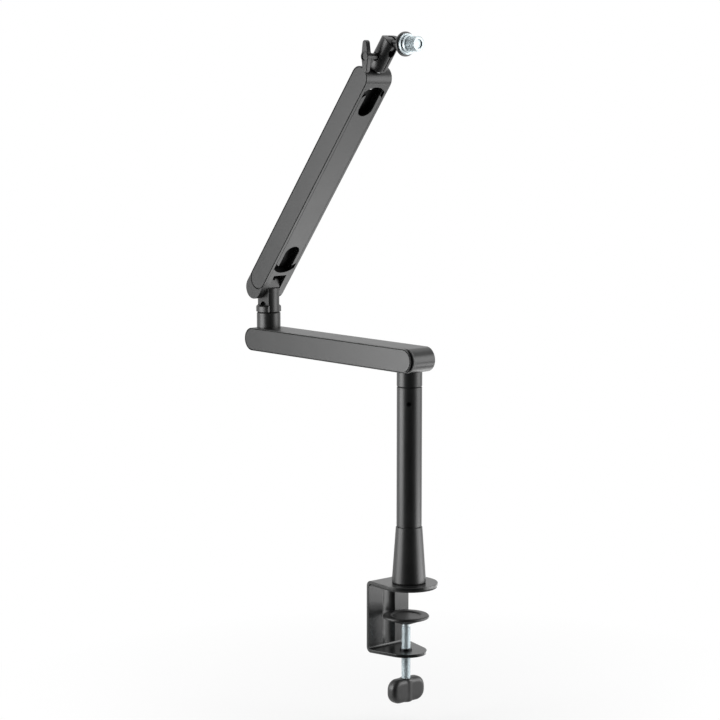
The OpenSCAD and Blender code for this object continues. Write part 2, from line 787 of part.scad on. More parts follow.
module upper_frame() color(black) on_upper() {
    difference() {
        union() {
            upper_side_on(-core, core) bar(0, upper_l, r);
            upper_side_on(-half, half) intersection() {
                bar(0, 40, r);
                difference() {
                    translate([-r, -r]) square([r + side_start, 2 * r]);
                    bar(side_start, slot_a + 2 * r, side_r + cheek_gap);
                }
            }
        }
        // fork slot, open at the end and at the underside
        translate([-r + back_wall, -fork_half, -r - cut]) cube([arm_h, 2 * fork_half, fork_l + r + cut]);
        // inside, for the spring and the cable
        translate([-r + back_wall, -inner, slot_a - 1])
            cube([rebate + r - back_wall + cut, 2 * inner, end_block - slot_a + 1]);
        translate([-r + back_wall, -fork_half, fork_l - cut])
            cube([r - back_wall + web_w, 2 * fork_half, bridge_t + 2]);
        // seat of the cable cover
        translate([rebate, 0, 0]) rotate([0, -90, 0]) mirror([0, 0, 1])
            linear_extrude(cover_t + cut) cover_hole(slot_a, slot_b);
        across_y(pin_across, pin_along, pin_d / 2 + seat, -core - cut, core + cut);
        across_y(far_pin[0], far_pin[1], spring_pin_d / 2 + seat, -core - cut, core + cut);
        for (s = upper_studs) across_y(0, s, stud_r + seat, -core - cut, core + cut);
        // seat and bore of the head's bolt
        translate([0, 0, end_block - cut]) cylinder(h = 30, r = head_bolt_d / 2 + run);
        translate([0, 0, washer_s]) cylinder(h = 10, r = washer_r + 0.2);
    }
}

module upper_side(sgn) {
    y0 = sgn > 0 ? core : -half;
    s0 = sgn > 0 ? core - stud_l : -core;
    on_upper() {
        upper_side_on(y0, y0 + side_t) bar(side_start, upper_l, side_r);
        for (s = upper_studs) across_y(0, s, stud_r, s0, s0 + stud_l);
    }
}
module upper_side_near() color(black) upper_side(-1);
module upper_side_far() color(black) upper_side(1);

module channel_floor() color(steel) on_upper() {
    top = end_block - bolt_seat - head_bolt_head_t - 1;
    translate([web_w, -inner, slot_a + 0.5]) cube([web_t, 2 * inner, top - slot_a - 0.5]);
}

module upper_cable_cover() color(black) on_upper() {
    translate([r, 0, 0]) rotate([0, -90, 0]) cover(slot_a, slot_b);
}

module arm_spring_pin() color(steel) on_upper() {
    across_y(far_pin[0], far_pin[1], spring_pin_d / 2, -core, core);
}

// Spring: a coil between two straight wires with an eye round each pin
coil_a = 46;
coil_b = far_pin[1] - 30;
near_hook = post_pin_d / 2 + 0.1;
far_hook = spring_pin_d / 2 + 0.1;

// the eye at a wire's end, round a pin
module eye(at, inside) {
    difference() {
        across_y(at[0], at[1], inside + spring_wire, -spring_wire / 2, spring_wire / 2);
        across_y(at[0], at[1], inside, -spring_wire, spring_wire);
    }
}

module counter_spring() color(steel) on_upper() {
    lean = atan2(spring_w - near_pin[0], coil_a - near_pin[1]);
    straight = norm([spring_w - near_pin[0], coil_a - near_pin[1]]);
    difference() {
        union() {
            translate([spring_w, 0, coil_a]) cylinder(h = coil_b - coil_a, r = spring_d / 2);
            translate([spring_w, 0, coil_b - 1])
                cylinder(h = far_pin[1] - far_hook - coil_b + 0.3, r = 0.4 * spring_wire);
            translate([near_pin[0], 0, near_pin[1]]) rotate([0, lean, 0])
                translate([0, 0, near_hook + 0.7]) cylinder(h = straight - near_hook, r = 0.4 * spring_wire);
            eye(near_pin, near_hook);
            eye(far_pin, far_hook);
        }
        translate([spring_w, 0, coil_a + spring_wire])
            cylinder(h = coil_b - coil_a - 2 * spring_wire, r = spring_d / 2 - spring_wire);
    }
}

// Head

module head_washer() color(steel) on_upper() {
    translate([0, 0, washer_s]) difference() {
        cylinder(h = socket_s - washer_s, r = washer_r);
        translate([0, 0, -cut]) cylinder(h = 5, r = head_bolt_d / 2 + 0.3);
    }
}

module ball_socket() color(black) on_upper() {
    difference() {
        union() {
            rotate_extrude() intersection() {
                union() {
                    translate([0, socket_s + socket_round])
                        square([socket_r, ball_s - socket_s - socket_round]);
                    square([socket_r - socket_round, ball_s]);
                    translate([socket_r - socket_round, socket_s + socket_round]) circle(socket_round);
                }
                translate([0, socket_s]) square([socket_r, ball_s]);
            }
            translate([0, 0, ball_s]) sphere(socket_r);
        }
        translate([0, 0, ball_s]) sphere(ball_r + run);
        // the slit, the mouth and the slot that the stem swings in
        translate([-socket_d, -slit_w / 2, socket_s + 4]) cube([2 * socket_d, slit_w, ball_along]);
        translate([0, 0, ball_s]) cylinder(h = 20, r = stem_slot);
        translate([0, -stem_slot, ball_s - stem_slot]) cube([socket_d, 2 * stem_slot, 40]);
        // the wing screw's hole, with a sunk face for its shaft
        across_y(0, wing_s, wing_shaft_d / 2 + 0.1, -socket_d, socket_r - 2.5);
        across_y(0, wing_s, wing_shaft_d / 2 + 1.3, -socket_d, -socket_r + 3);
        translate([0, 0, socket_s - cut]) cylinder(h = 12 + cut, r = head_bolt_d / 2 + seat);
    }
}

module head_bolt() color(steel) on_upper() {
    s0 = end_block - bolt_seat;
    translate([0, 0, s0 - head_bolt_head_t]) difference() {
        union() {
            cylinder(h = head_bolt_head_t, r = head_bolt_head / 2);
            cylinder(h = socket_s + 11 - s0 + head_bolt_head_t, r = head_bolt_d / 2);
        }
        translate([0, 0, -cut]) cylinder(h = 3 + cut, r = 3.4, $fn = 6);
    }
}

module head_bolt_washer() color(steel) on_upper() {
    translate([0, 0, end_block - bolt_seat]) difference() {
        cylinder(h = 1.5, r = head_bolt_head / 2 + 1);
        translate([0, 0, -cut]) cylinder(h = 5, r = head_bolt_d / 2 + 0.2);
    }
}

module wing_screw() color(plastic) {
    y_in = -socket_r - wing_gap;
    hub = 5.8;
    tip = 4;
    translate([wing_at[0], 0, wing_at[2]]) {
        translate([0, y_in, 0]) rotate([90, 0, 0]) linear_extrude(wing_t) {
            circle(hub);
            translate([-tip, -wing_h / 2 + 2]) square([2 * tip, wing_h - 4]);
            translate([-tip + 2, -wing_h / 2]) square([2 * tip - 4, wing_h]);
            for (x = [-1, 1], z = [-1, 1]) translate([x * (tip - 2), z * (wing_h / 2 - 2)]) circle(2);
        }
        across_y(0, 0, wing_shaft_d / 2, y_in, socket_r - 3);
    }
}

module ball_stem() color(black) {
    translate(ball_at) rotate([0, 90, 0]) rotate_extrude() {
        intersection() {
            circle(ball_r);
            translate([0, -ball_r]) square([ball_r, 2 * ball_r]);
        }
        polygon([[0, 0], [stem_d / 2, 0], [stem_d / 2, flange_x - flange_t - 5],
            [7, flange_x - flange_t - 1.2],
            [flange_d / 2 - 1.5, flange_x - flange_t], [flange_d / 2, flange_x - flange_t + 1],
            [flange_d / 2, flange_x], [mic_bore_d / 2 - 0.1, flange_x],
            [mic_bore_d / 2 - 0.1, flange_x + adapter_t + step_l + mic_l - 1.4],
            [0, flange_x + adapter_t + step_l + mic_l - 1.4]]);
    }
}

module thread_adapter() color(zinc) {
    a = flange_x;
    b = a + adapter_t;
    c = b + step_l;
    d = c + mic_l;
    translate(ball_at) rotate([0, 90, 0]) rotate_extrude()
        polygon([[mic_bore_d / 2, a], [adapter_d / 2 - 0.3, a], [adapter_d / 2, a + 0.3],
            [adapter_d / 2, b - 0.4], [adapter_d / 2 - 0.4, b], [step_d / 2, b], [step_d / 2, c - 0.3],
            [step_d / 2 - 0.3, c], [mic_d / 2, c], [mic_d / 2, d - 0.8], [mic_d / 2 - 0.8, d],
            [mic_bore_d / 2 + 0.4, d], [mic_bore_d / 2, d - 0.4]]);
}

clamp_bracket();
top_grip_pad();
clamp_insert();
foot_bolt();
foot_washer();
riser_foot();
riser_tube();
riser_bush();
tension_screw();
swivel_ball();
clamp_screw();
clamp_knob();
knob_pin();
pressure_pad();
swivel_post();
post_lock_screw();
lower_frame();
lower_side_near();
lower_side_far();
lower_cable_cover();
elbow_housing();
elbow_bush();
access_plug();
elbow_post();
elbow_keeper_washer();
elbow_keeper_screw();
tilt_bush();
post_spring_pin();
tilt_washers();
tilt_pin();
upper_frame();
upper_side_near();
upper_side_far();
channel_floor();
upper_cable_cover();
arm_spring_pin();
counter_spring();
head_washer();
ball_socket();
head_bolt();
head_bolt_washer();
wing_screw();
ball_stem();
thread_adapter();
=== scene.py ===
# %% [markdown]
# # A boom arm for a microphone
#
# The object is a desk-mounted boom arm. A bent steel clamp grips the edge of
# a desk and carries an upright tube. A box-section arm swivels on the tube,
# a post on its far end carries a second arm that leans up and out, and a
# small ball head on top of that holds the threaded stud for the microphone.
#
# The exact shapes, the joints and the sizes come from a CAD model. It is
# loaded here as a fixed frame, and every piece that this lesson makes is put
# around it: a piece rides on one body of that frame, and the CAD solids it
# stands for are hidden. This way the picture can be rich in small details
# while the machine keeps its real dimensions.

# %% Load the frame
import json
import math

import bmesh
import bpy
from mathutils import Euler, Matrix, Vector


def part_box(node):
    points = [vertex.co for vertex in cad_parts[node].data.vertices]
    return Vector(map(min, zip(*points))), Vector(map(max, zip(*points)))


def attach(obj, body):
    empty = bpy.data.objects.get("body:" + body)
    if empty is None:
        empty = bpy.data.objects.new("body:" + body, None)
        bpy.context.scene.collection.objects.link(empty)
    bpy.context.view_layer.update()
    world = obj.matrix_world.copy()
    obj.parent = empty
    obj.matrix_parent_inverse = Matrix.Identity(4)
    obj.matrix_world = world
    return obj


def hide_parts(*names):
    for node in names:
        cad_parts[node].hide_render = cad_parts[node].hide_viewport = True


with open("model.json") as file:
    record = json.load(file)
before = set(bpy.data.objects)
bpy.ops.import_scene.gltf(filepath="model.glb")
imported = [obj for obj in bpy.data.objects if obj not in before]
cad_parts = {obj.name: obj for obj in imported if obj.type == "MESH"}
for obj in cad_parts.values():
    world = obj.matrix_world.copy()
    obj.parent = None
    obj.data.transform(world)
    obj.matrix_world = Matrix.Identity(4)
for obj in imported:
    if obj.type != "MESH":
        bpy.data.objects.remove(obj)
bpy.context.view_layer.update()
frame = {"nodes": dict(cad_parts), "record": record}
cad_nodes = frame["nodes"]
body_of = {node: body
           for body, nodes in frame["record"]["behaviour"]["bodies"].items()
           for node in nodes}

# %% [markdown]
# ## Working by numbers
#
# A hand-made model would use the mouse to pick faces. A script has no mouse,
# so a small helper picks vertices, edges or faces by a test on their place
# or their direction. All the sizes below are in millimetres, as a maker would
# read them from a drawing, and they are turned to metres in one place.
#
# Each arm has its own straight frame in which it is easy to draw: x points
# toward the arm's underside, y to its far side, and z along the arm. When a
# piece of an arm is ready, one turn and one move put it on the real arm.

# %% Helpers for picking and placing
MM = 0.001
SAME = 1e-6


def mm(*values):
    """A point or step given in millimetres."""
    return Vector(values) * MM


def span(node, axis):
    """Lowest and highest place of a CAD node on an axis, in millimetres."""
    low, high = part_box(node)
    index = "xyz".index(axis)
    return round(low[index] / MM, 1), round(high[index] / MM, 1)


def pivot(joint):
    """The place of a CAD joint in millimetres."""
    for row in frame["record"]["behaviour"]["joints"]:
        if row["name"] == joint:
            return [round(v / MM, 3) for v in row["pos_m"]]


def rest():
    """Leaves edit mode and selects nothing."""
    if bpy.context.mode != "OBJECT":
        bpy.ops.object.mode_set(mode="OBJECT")
    bpy.ops.object.select_all(action="DESELECT")


def settle(piece):
    """Keeps a piece's place in its mesh, as every CAD node does."""
    bpy.ops.object.transform_apply(location=True, rotation=True, scale=True)
    return piece


def start(name):
    """Names the primitive just added, and settles it."""
    piece = bpy.context.active_object
    piece.name = piece.data.name = name
    return settle(piece)


def only(piece):
    """Selects one piece and makes it the active one."""
    rest()
    piece.select_set(True)
    bpy.context.view_layer.objects.active = piece
    return piece


def edit(piece):
    """Opens one piece in edit mode."""
    only(piece)
    bpy.ops.object.mode_set(mode="EDIT")


def choose(kind, test):
    """In edit mode, selects the vertices, edges or faces that pass a test."""
    bpy.ops.mesh.select_mode(type=kind)
    bpy.ops.mesh.select_all(action="DESELECT")
    mesh = bpy.context.edit_object.data
    grid = bmesh.from_edit_mesh(mesh)
    grid.normal_update()
    parts = {"VERT": grid.verts, "EDGE": grid.edges, "FACE": grid.faces}[kind]
    picked = [part for part in parts if test(part)]
    for part in picked:
        part.select = True
    grid.select_flush_mode()
    bmesh.update_edit_mesh(mesh)
    return len(picked)


def length_along(edge, axis):
    """How far an edge runs along an axis, in metres."""
    index = "xyz".index(axis)
    return abs(edge.verts[0].co[index] - edge.verts[1].co[index])


def face_out(piece):
    """Merges doubles and turns every face outwards."""
    edit(piece)
    bpy.ops.mesh.select_all(action="SELECT")
    bpy.ops.mesh.remove_doubles(threshold=SAME)
    bpy.ops.mesh.delete_loose(use_verts=True, use_edges=True)
    bpy.ops.mesh.select_all(action="SELECT")
    bpy.ops.mesh.normals_make_consistent(inside=False)
    rest()
    return piece


def place(piece, matrix):
    """Moves a piece by a matrix, and settles it there."""
    only(piece)
    piece.matrix_world = matrix
    return settle(piece)


print("tube from z", span("riser_tube", "z"), "tilt pin", pivot("elbow_tilt"))

# %% [markdown]
# ## The frames of the two arms
#
# Most levels are read from the boxes of the CAD nodes, and the axes from the
# joints, so they can't drift apart. Seen from the side, each arm is a bar
# with round ends, 26 mm from its top to its underside, and it is 35 mm across
# with the side plates. The upper arm leans 38 degrees about the tilt pin.

# %% Places and sizes of the arms
LEAN = math.radians(38)
PIN_IN_ARM = (3, 0, 6)
PIN = pivot("elbow_tilt")
ELBOW_X, PIN_Z = PIN[0], PIN[2]
BALL = pivot("head_tilt")
WING = pivot("wing_screw_turn")
SCREW_X = pivot("screw_turn")[0]
ARM_LOW, ARM_TOP = span("lower_frame", "z")
ARM_R = round(ARM_TOP - ARM_LOW, 1) / 2
PLATE_IN, PLATE_OUT = 14.5, span("lower_side_far", "y")[1]
ON_LOWER = (Matrix.Translation(mm(0, 0, ARM_LOW + ARM_R))
            @ Matrix.Rotation(math.radians(90), 4, "Y"))
ON_UPPER = (Matrix.Translation(mm(*PIN)) @ Matrix.Rotation(LEAN, 4, "Y")
            @ Matrix.Translation(-mm(*PIN_IN_ARM)))
LOWER_ENDS = (ELBOW_X - 9, 11.5)
UPPER_ENDS = (0, 299.5)
LOWER_PLATE = (ELBOW_X - 9, 7.7)
UPPER_PLATE = (14.2, 299.5)
print("lower arm at", [round(v / MM, 2) for v in ON_LOWER.translation])
print("upper arm at", [round(v / MM, 2) for v in ON_UPPER.translation])

# %% [markdown]
# ## Three ways to start a piece
#
# Most parts of this arm were turned on a lathe, punched from plate, or cast
# as a plain block and milled. The helpers follow that. A turned part is half
# an outline drawn point by point from a single vertex, whose corners are
# rounded while it is still a line, and which is then spun once. A
# round-ended bar is a disc with one half pulled along. What a milling cutter
# takes away is a solid of the cutter's path and a Boolean modifier.
#
# The sharp edges of the result are then broken by a narrow bevel, because an
# edge that catches no light at all is what gives a model away. Only the
# moulded knob is so round that it is melted instead: remeshed, then smoothed.

# %% Helpers that make turned parts
SIDES = 96


def single_point(name, point):
    """A mesh of one vertex, in edit mode, from which a line is extruded."""
    rest()
    bpy.ops.mesh.primitive_plane_add(size=MM, location=point)
    piece = start(name)
    bpy.ops.object.mode_set(mode="EDIT")
    bpy.ops.mesh.select_mode(type="VERT")
    bpy.ops.mesh.select_all(action="SELECT")
    bpy.ops.mesh.merge(type="CENTER")
    return piece


def choose_near(points):
    """In edit mode, selects the vertices that lie on some points."""
    choose("VERT", lambda v: any((v.co - q).length < 2 * SAME for q in points))


def turned(name, outline, centre=(0, 0, 0), along=(0, 0, 1), out=(1, 0, 0),
           steps=SIDES, closed=False):
    """Spins an outline of (radius, height, rounding) points round an axis.

    A closed outline is a ring that doesn't reach the axis."""
    along, out = Vector(along).normalized(), Vector(out).normalized()
    points = [mm(*centre) + (out * p[0] + along * p[1]) * MM for p in outline]
    piece = single_point(name, points[0])
    for here, there in zip(points, points[1:]):
        bpy.ops.mesh.extrude_vertices_move(
            TRANSFORM_OT_translate={"value": there - here})
    if closed:
        choose_near((points[0], points[-1]))
        bpy.ops.mesh.edge_face_add()
    for soft in sorted({p[2] for p in outline if len(p) > 2}):
        choose_near([q for q, p in zip(points, outline) if p[2:] == (soft,)])
        bpy.ops.mesh.bevel(offset=soft * MM, segments=3, affect="VERTICES")
    bpy.ops.mesh.select_all(action="SELECT")
    bpy.ops.mesh.spin(steps=steps, angle=2 * math.pi, center=mm(*centre),
                      axis=along)
    return face_out(piece)


# %% Helpers that make bars, plates, blocks, rods and balls
LIE_FLAT = Matrix(((0, 1, 0, 0), (-1, 0, 0, 0), (0, 0, 1, 0), (0, 0, 0, 1)))


def round_bar(name, first, last, radius, low, high, sides=SIDES):
    """A bar with round ends in an arm's frame, from y low to y high."""
    rest()
    bpy.ops.mesh.primitive_circle_add(
        vertices=sides, radius=radius * MM, fill_type="NGON",
        location=mm(0, low, first),
        rotation=(math.pi / 2, math.pi / sides, 0))
    piece = start(name)
    bpy.ops.object.mode_set(mode="EDIT")
    choose("VERT", lambda v: v.co.z > first * MM)
    bpy.ops.transform.translate(value=mm(0, 0, last - first))
    bpy.ops.mesh.select_all(action="SELECT")
    bpy.ops.mesh.extrude_region_move(
        TRANSFORM_OT_translate={"value": mm(0, high - low, 0)})
    return face_out(piece)


def round_plate(name, first, last, radius, low, high, sides=SIDES):
    """The same, lying flat: its thickness is from x low to x high."""
    return place(round_bar(name, first, last, radius, low, high, sides),
                 LIE_FLAT)


def block(name, low, high):
    """A block between two corners."""
    rest()
    low, high = mm(*low), mm(*high)
    bpy.ops.mesh.primitive_cube_add(size=1, location=(low + high) / 2,
                                    scale=high - low)
    return start(name)


def rod(name, radius, one_end, other_end, sides=SIDES):
    """A cylinder between two points."""
    rest()
    one_end, other_end = mm(*one_end), mm(*other_end)
    run = other_end - one_end
    bpy.ops.mesh.primitive_cylinder_add(
        vertices=sides, radius=radius * MM, depth=run.length,
        location=(one_end + other_end) / 2,
        rotation=run.to_track_quat("Z", "Y").to_euler())
    return start(name)


def ball(name, radius, centre):
    """A sphere, used as a ball cutter."""
    rest()
    bpy.ops.mesh.primitive_uv_sphere_add(segments=64, ring_count=32,
                                         radius=radius * MM,
                                         location=mm(*centre))
    return start(name)


# %% Helpers that mill, join, break edges and shade
def add_modifier(piece, kind):
    """Adds a modifier to one piece and returns it."""
    only(piece)
    bpy.ops.object.modifier_add(type=kind)
    return piece.modifiers[-1]


def mill(piece, *cutters, work="DIFFERENCE"):
    """Takes the cutters' solids away from a piece, or adds them to it."""
    for cutter in cutters:
        change = add_modifier(piece, "BOOLEAN")
        change.operation, change.solver = work, "EXACT"
        change.object = cutter
        bpy.ops.object.modifier_apply(modifier=change.name)
        bpy.data.objects.remove(cutter)
    return face_out(piece)


def soften(piece, width, segments=2, angle=30, smooth=30):
    """Breaks the sharp edges, as tumbling and paint do on the real part."""
    edges = add_modifier(piece, "BEVEL")
    edges.width, edges.segments = width * MM, segments
    edges.limit_method, edges.angle_limit = "ANGLE", math.radians(angle)
    edges.use_clamp_overlap = False
    bpy.ops.object.modifier_apply(modifier=edges.name)
    return shade(piece, smooth)


def shade(piece, smooth=30):
    """Smooth shading that keeps flat faces flat."""
    only(piece)
    bpy.ops.object.shade_smooth_by_angle(angle=math.radians(smooth))
    weights = add_modifier(piece, "WEIGHTED_NORMAL")
    weights.keep_sharp = True
    bpy.ops.object.modifier_apply(modifier=weights.name)
    return piece


def melt(piece, grain, passes):
    """Rounds a moulded shape all over: even grains, then smoothing."""
    grains = add_modifier(piece, "REMESH")
    grains.mode = "VOXEL"
    grains.voxel_size = grain * MM
    bpy.ops.object.modifier_apply(modifier=grains.name)
    even = add_modifier(piece, "SMOOTH")
    even.factor = 0.5
    even.iterations = passes
    bpy.ops.object.modifier_apply(modifier=even.name)
    return piece


def join(piece, *others):
    """Makes several meshes one piece."""
    only(piece)
    for other in others:
        other.select_set(True)
    bpy.ops.object.join()
    return piece


# %% [markdown]
# ## A screw thread
#
# A real thread is a ridge that climbs round a rod. Here the ridge is one
# small triangle with a blunt tip, stood on the rod's surface and swept along
# a helix by the Screw modifier, and its two open ends are closed. It is
# joined to the rod, so that the silhouette has real teeth and not only a
# pattern of light. The coils of the spring are wound by the same helper.

# %% Helpers for helixes and threads
ROOT_HALF = 0.44
CREST_HALF = 0.06


def climb(piece, pitch, turns, steps):
    """Sweeps a small flat ring along a helix and closes its two ends."""
    helix = add_modifier(piece, "SCREW")
    helix.axis, helix.angle = "Z", 2 * math.pi
    helix.screw_offset, helix.iterations = pitch * MM, turns
    helix.steps = helix.render_steps = steps
    bpy.ops.object.modifier_apply(modifier=helix.name)
    edit(piece)
    bpy.ops.mesh.select_mode(type="EDGE")
    bpy.ops.mesh.select_all(action="DESELECT")
    bpy.ops.mesh.select_non_manifold()
    bpy.ops.mesh.fill_holes(sides=12)
    return face_out(piece)


def thread(name, core, crest, pitch, turns, base, along, out, steps=40):
    """A ridge from radius core to crest that climbs from a base point.

    It nearly fills the pitch at its root, and is narrow at its crest."""
    along, out = Vector(along).normalized(), Vector(out).normalized()
    side = along.cross(out)
    to_world = Matrix.Translation(mm(*base)) @ Matrix(
        (out, side, along)).transposed().to_4x4()
    rise = (ROOT_HALF - CREST_HALF) * pitch
    ridge = single_point(name, mm(core, 0, -ROOT_HALF * pitch))
    for step in ((crest - core, 0, rise), (0, 0, 2 * CREST_HALF * pitch),
                 (core - crest, 0, rise)):
        bpy.ops.mesh.extrude_vertices_move(
            TRANSFORM_OT_translate={"value": mm(*step)})
    bpy.ops.mesh.select_all(action="SELECT")
    bpy.ops.mesh.edge_face_add()
    bpy.ops.mesh.delete(type="ONLY_FACE")
    climb(ridge, pitch, turns, steps)
    place(ridge, to_world)
    return shade(ridge, 20)


# %% [markdown]
# ## Finishes
#
# The arm has few materials, and each has its own small-scale look. The
# aluminium and the bent steel are powder coated: a dark grey film with a fine
# orange-peel surface that spreads each light softly. The knob, the pad and
# the wing screw are moulded plastic with an eroded, slightly blotchy surface.
# The clamp screw and the microphone's thread are zinc plated, pale and a
# little blue. Every finish is made from noise on the object's own
# coordinates, so it needs no pictures and no unwrapping, and it stays on a
# part when the part moves.

# %% Helper for finishes
PATCH = 14
NOISE_LOW, NOISE_HIGH = 0.35, 0.65


def finish(name, dark, light, rough, grain, depth, metal=0.0, gloss=0.5):
    """A material whose colour and roughness wander between two values.

    grain is the size of its fine bumps and depth their height, in mm."""
    material = bpy.data.materials.new(name)
    material.use_nodes = True
    nodes, links = material.node_tree.nodes, material.node_tree.links
    shader = nodes["Principled BSDF"]
    shader.inputs["Metallic"].default_value = metal
    shader.inputs["Specular IOR Level"].default_value = gloss
    place_on = nodes.new("ShaderNodeTexCoord")

    def noise(size_mm, detail):
        pattern = nodes.new("ShaderNodeTexNoise")
        pattern.inputs["Scale"].default_value = 1 / (size_mm * MM)
        pattern.inputs["Detail"].default_value = detail
        links.new(place_on.outputs["Object"], pattern.inputs["Vector"])
        return pattern.outputs["Fac"]

    patches, fine = noise(PATCH, 3), noise(grain, 2)
    both = nodes.new("ShaderNodeMath")
    both.operation = "ADD"
    links.new(patches, both.inputs[0])
    links.new(fine, both.inputs[1])
    tones = nodes.new("ShaderNodeValToRGB")
    first, last = tones.color_ramp.elements
    first.position, last.position = NOISE_LOW, NOISE_HIGH
    first.color, last.color = (*dark, 1), (*light, 1)
    half = nodes.new("ShaderNodeMath")
    half.operation = "MULTIPLY"
    half.inputs[1].default_value = 0.5
    links.new(both.outputs[0], half.inputs[0])
    links.new(half.outputs[0], tones.inputs["Fac"])
    links.new(tones.outputs["Color"], shader.inputs["Base Color"])
    spread = nodes.new("ShaderNodeMapRange")
    spread.inputs["From Min"].default_value = 0.3
    spread.inputs["From Max"].default_value = 0.7
    spread.inputs["To Min"].default_value = rough[0]
    spread.inputs["To Max"].default_value = rough[1]
    links.new(half.outputs[0], spread.inputs["Value"])
    links.new(spread.outputs["Result"], shader.inputs["Roughness"])
    bump = nodes.new("ShaderNodeBump")
    bump.inputs["Strength"].default_value = 1.0
    bump.inputs["Distance"].default_value = depth * MM
    links.new(fine, bump.inputs["Height"])
    links.new(bump.outputs["Normal"], shader.inputs["Normal"])
    return material


# %% The finishes
powder_coat = finish(
    "powder_coat", dark=(0.008, 0.0085, 0.0085),
    light=(0.012, 0.0125, 0.0125), rough=(0.34, 0.40), grain=0.45, depth=0.004)
clamp_coat = finish(
    "clamp_coat", dark=(0.007, 0.0075, 0.0075),
    light=(0.010, 0.0105, 0.0105), rough=(0.26, 0.32), grain=0.5, depth=0.004)
black_oxide = finish(
    "black_oxide", dark=(0.030, 0.031, 0.033), light=(0.050, 0.051, 0.053),
    rough=(0.34, 0.46), grain=0.4, depth=0.003, metal=1.0)
moulded_black = finish(
    "moulded_black", dark=(0.012, 0.012, 0.012), light=(0.020, 0.020, 0.020),
    rough=(0.36, 0.46), grain=0.7, depth=0.010)
zinc_plate = finish(
    "zinc_plate", dark=(0.55, 0.61, 0.63), light=(0.65, 0.71, 0.73),
    rough=(0.56, 0.66), grain=0.5, depth=0.002, metal=1.0)
plain_steel = finish(
    "plain_steel", dark=(0.42, 0.42, 0.42), light=(0.55, 0.55, 0.55),
    rough=(0.28, 0.42), grain=0.4, depth=0.003, metal=1.0)
pale_nylon = finish(
    "pale_nylon", dark=(0.62, 0.60, 0.54), light=(0.70, 0.68, 0.62),
    rough=(0.40, 0.50), grain=0.8, depth=0.004)
# Black nylon painted darker than its own colour, with little gloss: painted
# shade standing in for the shade in the narrow grooves at the bush rims.
nylon_with_painted_shade = finish(
    "nylon_with_painted_shade", dark=(0.004, 0.004, 0.004), light=(0.007, 0.007, 0.007),
    rough=(0.5, 0.65), grain=0.6, depth=0.004, gloss=0.2)
soft_rubber = finish(
    "soft_rubber", dark=(0.012, 0.012, 0.012), light=(0.020, 0.020, 0.020),
    rough=(0.7, 0.85), grain=0.35, depth=0.02)
print("materials in the file:", len(bpy.data.materials))


# %% Helper that hands a piece over
def hand_over(piece, material, *nodes):
    """Gives a piece its finish and its body, and hides the CAD nodes it stands
    for.
    """
    piece.data.materials.clear()
    piece.data.materials.append(material)
    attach(piece, body_of[nodes[0]])
    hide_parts(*nodes)
    print(f"{piece.name}: {len(piece.data.polygons)} faces,"
          f" {[round(v / MM, 1) for v in piece.dimensions]} mm,"
          f" on {body_of[nodes[0]]}")
    return piece


# %% [markdown]
# ## The camera
#
# A product photographer stands well back with a long lens, so that upright
# edges stay upright and the near end isn't swollen. The place was found by
# matching known points of the arm with the same points in the photograph.

# %% Camera
rest()
CAMERA_AT = mm(1772.0, -1593.7, 554.4)
SIGHT = Vector((-0.75179, 0.64674, -0.12861))
bpy.ops.object.camera_add(location=CAMERA_AT)
camera = bpy.context.active_object
camera.name = "camera"
camera.data.lens = 113.27
camera.data.sensor_width = 36
camera.data.clip_start, camera.data.clip_end = 0.05, 50
camera.rotation_mode = "QUATERNION"
camera.rotation_quaternion = SIGHT.to_track_quat("-Z", "Y")
bpy.context.scene.camera = camera
print("camera distance in mm:", round(CAMERA_AT.length / MM))

# %% [markdown]
# ## The upright: foot, tube and collars
#
# The foot is a turned cone with a small rounding where the lathe tool left
# each edge. A dark groove separates it from the tube, and again the tube from
# the collar that turns with the lower arm. All of these are outlines spun
# round the riser's axis. The tube also has a hole for the small set screw
# that adjusts how hard the arm turns.

# %% Levels and radii of the upright
FOOT_LOW, SPIGOT_TOP = span("riser_foot", "z")
TUBE_LOW, TUBE_TOP = span("riser_tube", "z")
POST_LOW, POST_TOP = span("swivel_post", "z")
HOUSING_LOW, HOUSING_TOP = span("elbow_housing", "z")
FOOT_R = span("riser_foot", "x")[1]
TUBE_R = span("riser_tube", "x")[1]
TUBE_BORE = 11
GAP = 1
FINE = 0.02
EDGE = 0.45
JOURNAL_R = 9
BOSS_R = 8
SET_SCREW_R = 2.52
print("upright from", FOOT_LOW, "to", POST_TOP)

# %% Foot
BOLT_R, BOLT_DEPTH = 4.02, 38
CONE_TOP = TUBE_LOW - GAP
foot = turned("foot_cone", [
    (BOLT_R, FOOT_LOW), (FOOT_R, FOOT_LOW, 0.5), (14.2, CONE_TOP, EDGE),
    (12.4, CONE_TOP), (12.4, TUBE_LOW), (TUBE_BORE - FINE, TUBE_LOW),
    (TUBE_BORE - FINE, SPIGOT_TOP, 0.8), (0, SPIGOT_TOP),
    (0, FOOT_LOW + BOLT_DEPTH), (BOLT_R, FOOT_LOW + BOLT_DEPTH)],
    closed=True)
hand_over(shade(foot), powder_coat, "riser_foot")

# %% Tube
HOLE_Z = TUBE_TOP - 17
tube = turned("riser_sleeve", [
    (TUBE_BORE, TUBE_LOW), (TUBE_R, TUBE_LOW, EDGE),
    (TUBE_R, TUBE_TOP, EDGE), (TUBE_BORE, TUBE_TOP)], closed=True)
mill(tube, rod("screw_hole", SET_SCREW_R, (5, -5, HOLE_Z), (12, -12, HOLE_Z),
               48))
hand_over(shade(tube), powder_coat, "riser_tube")

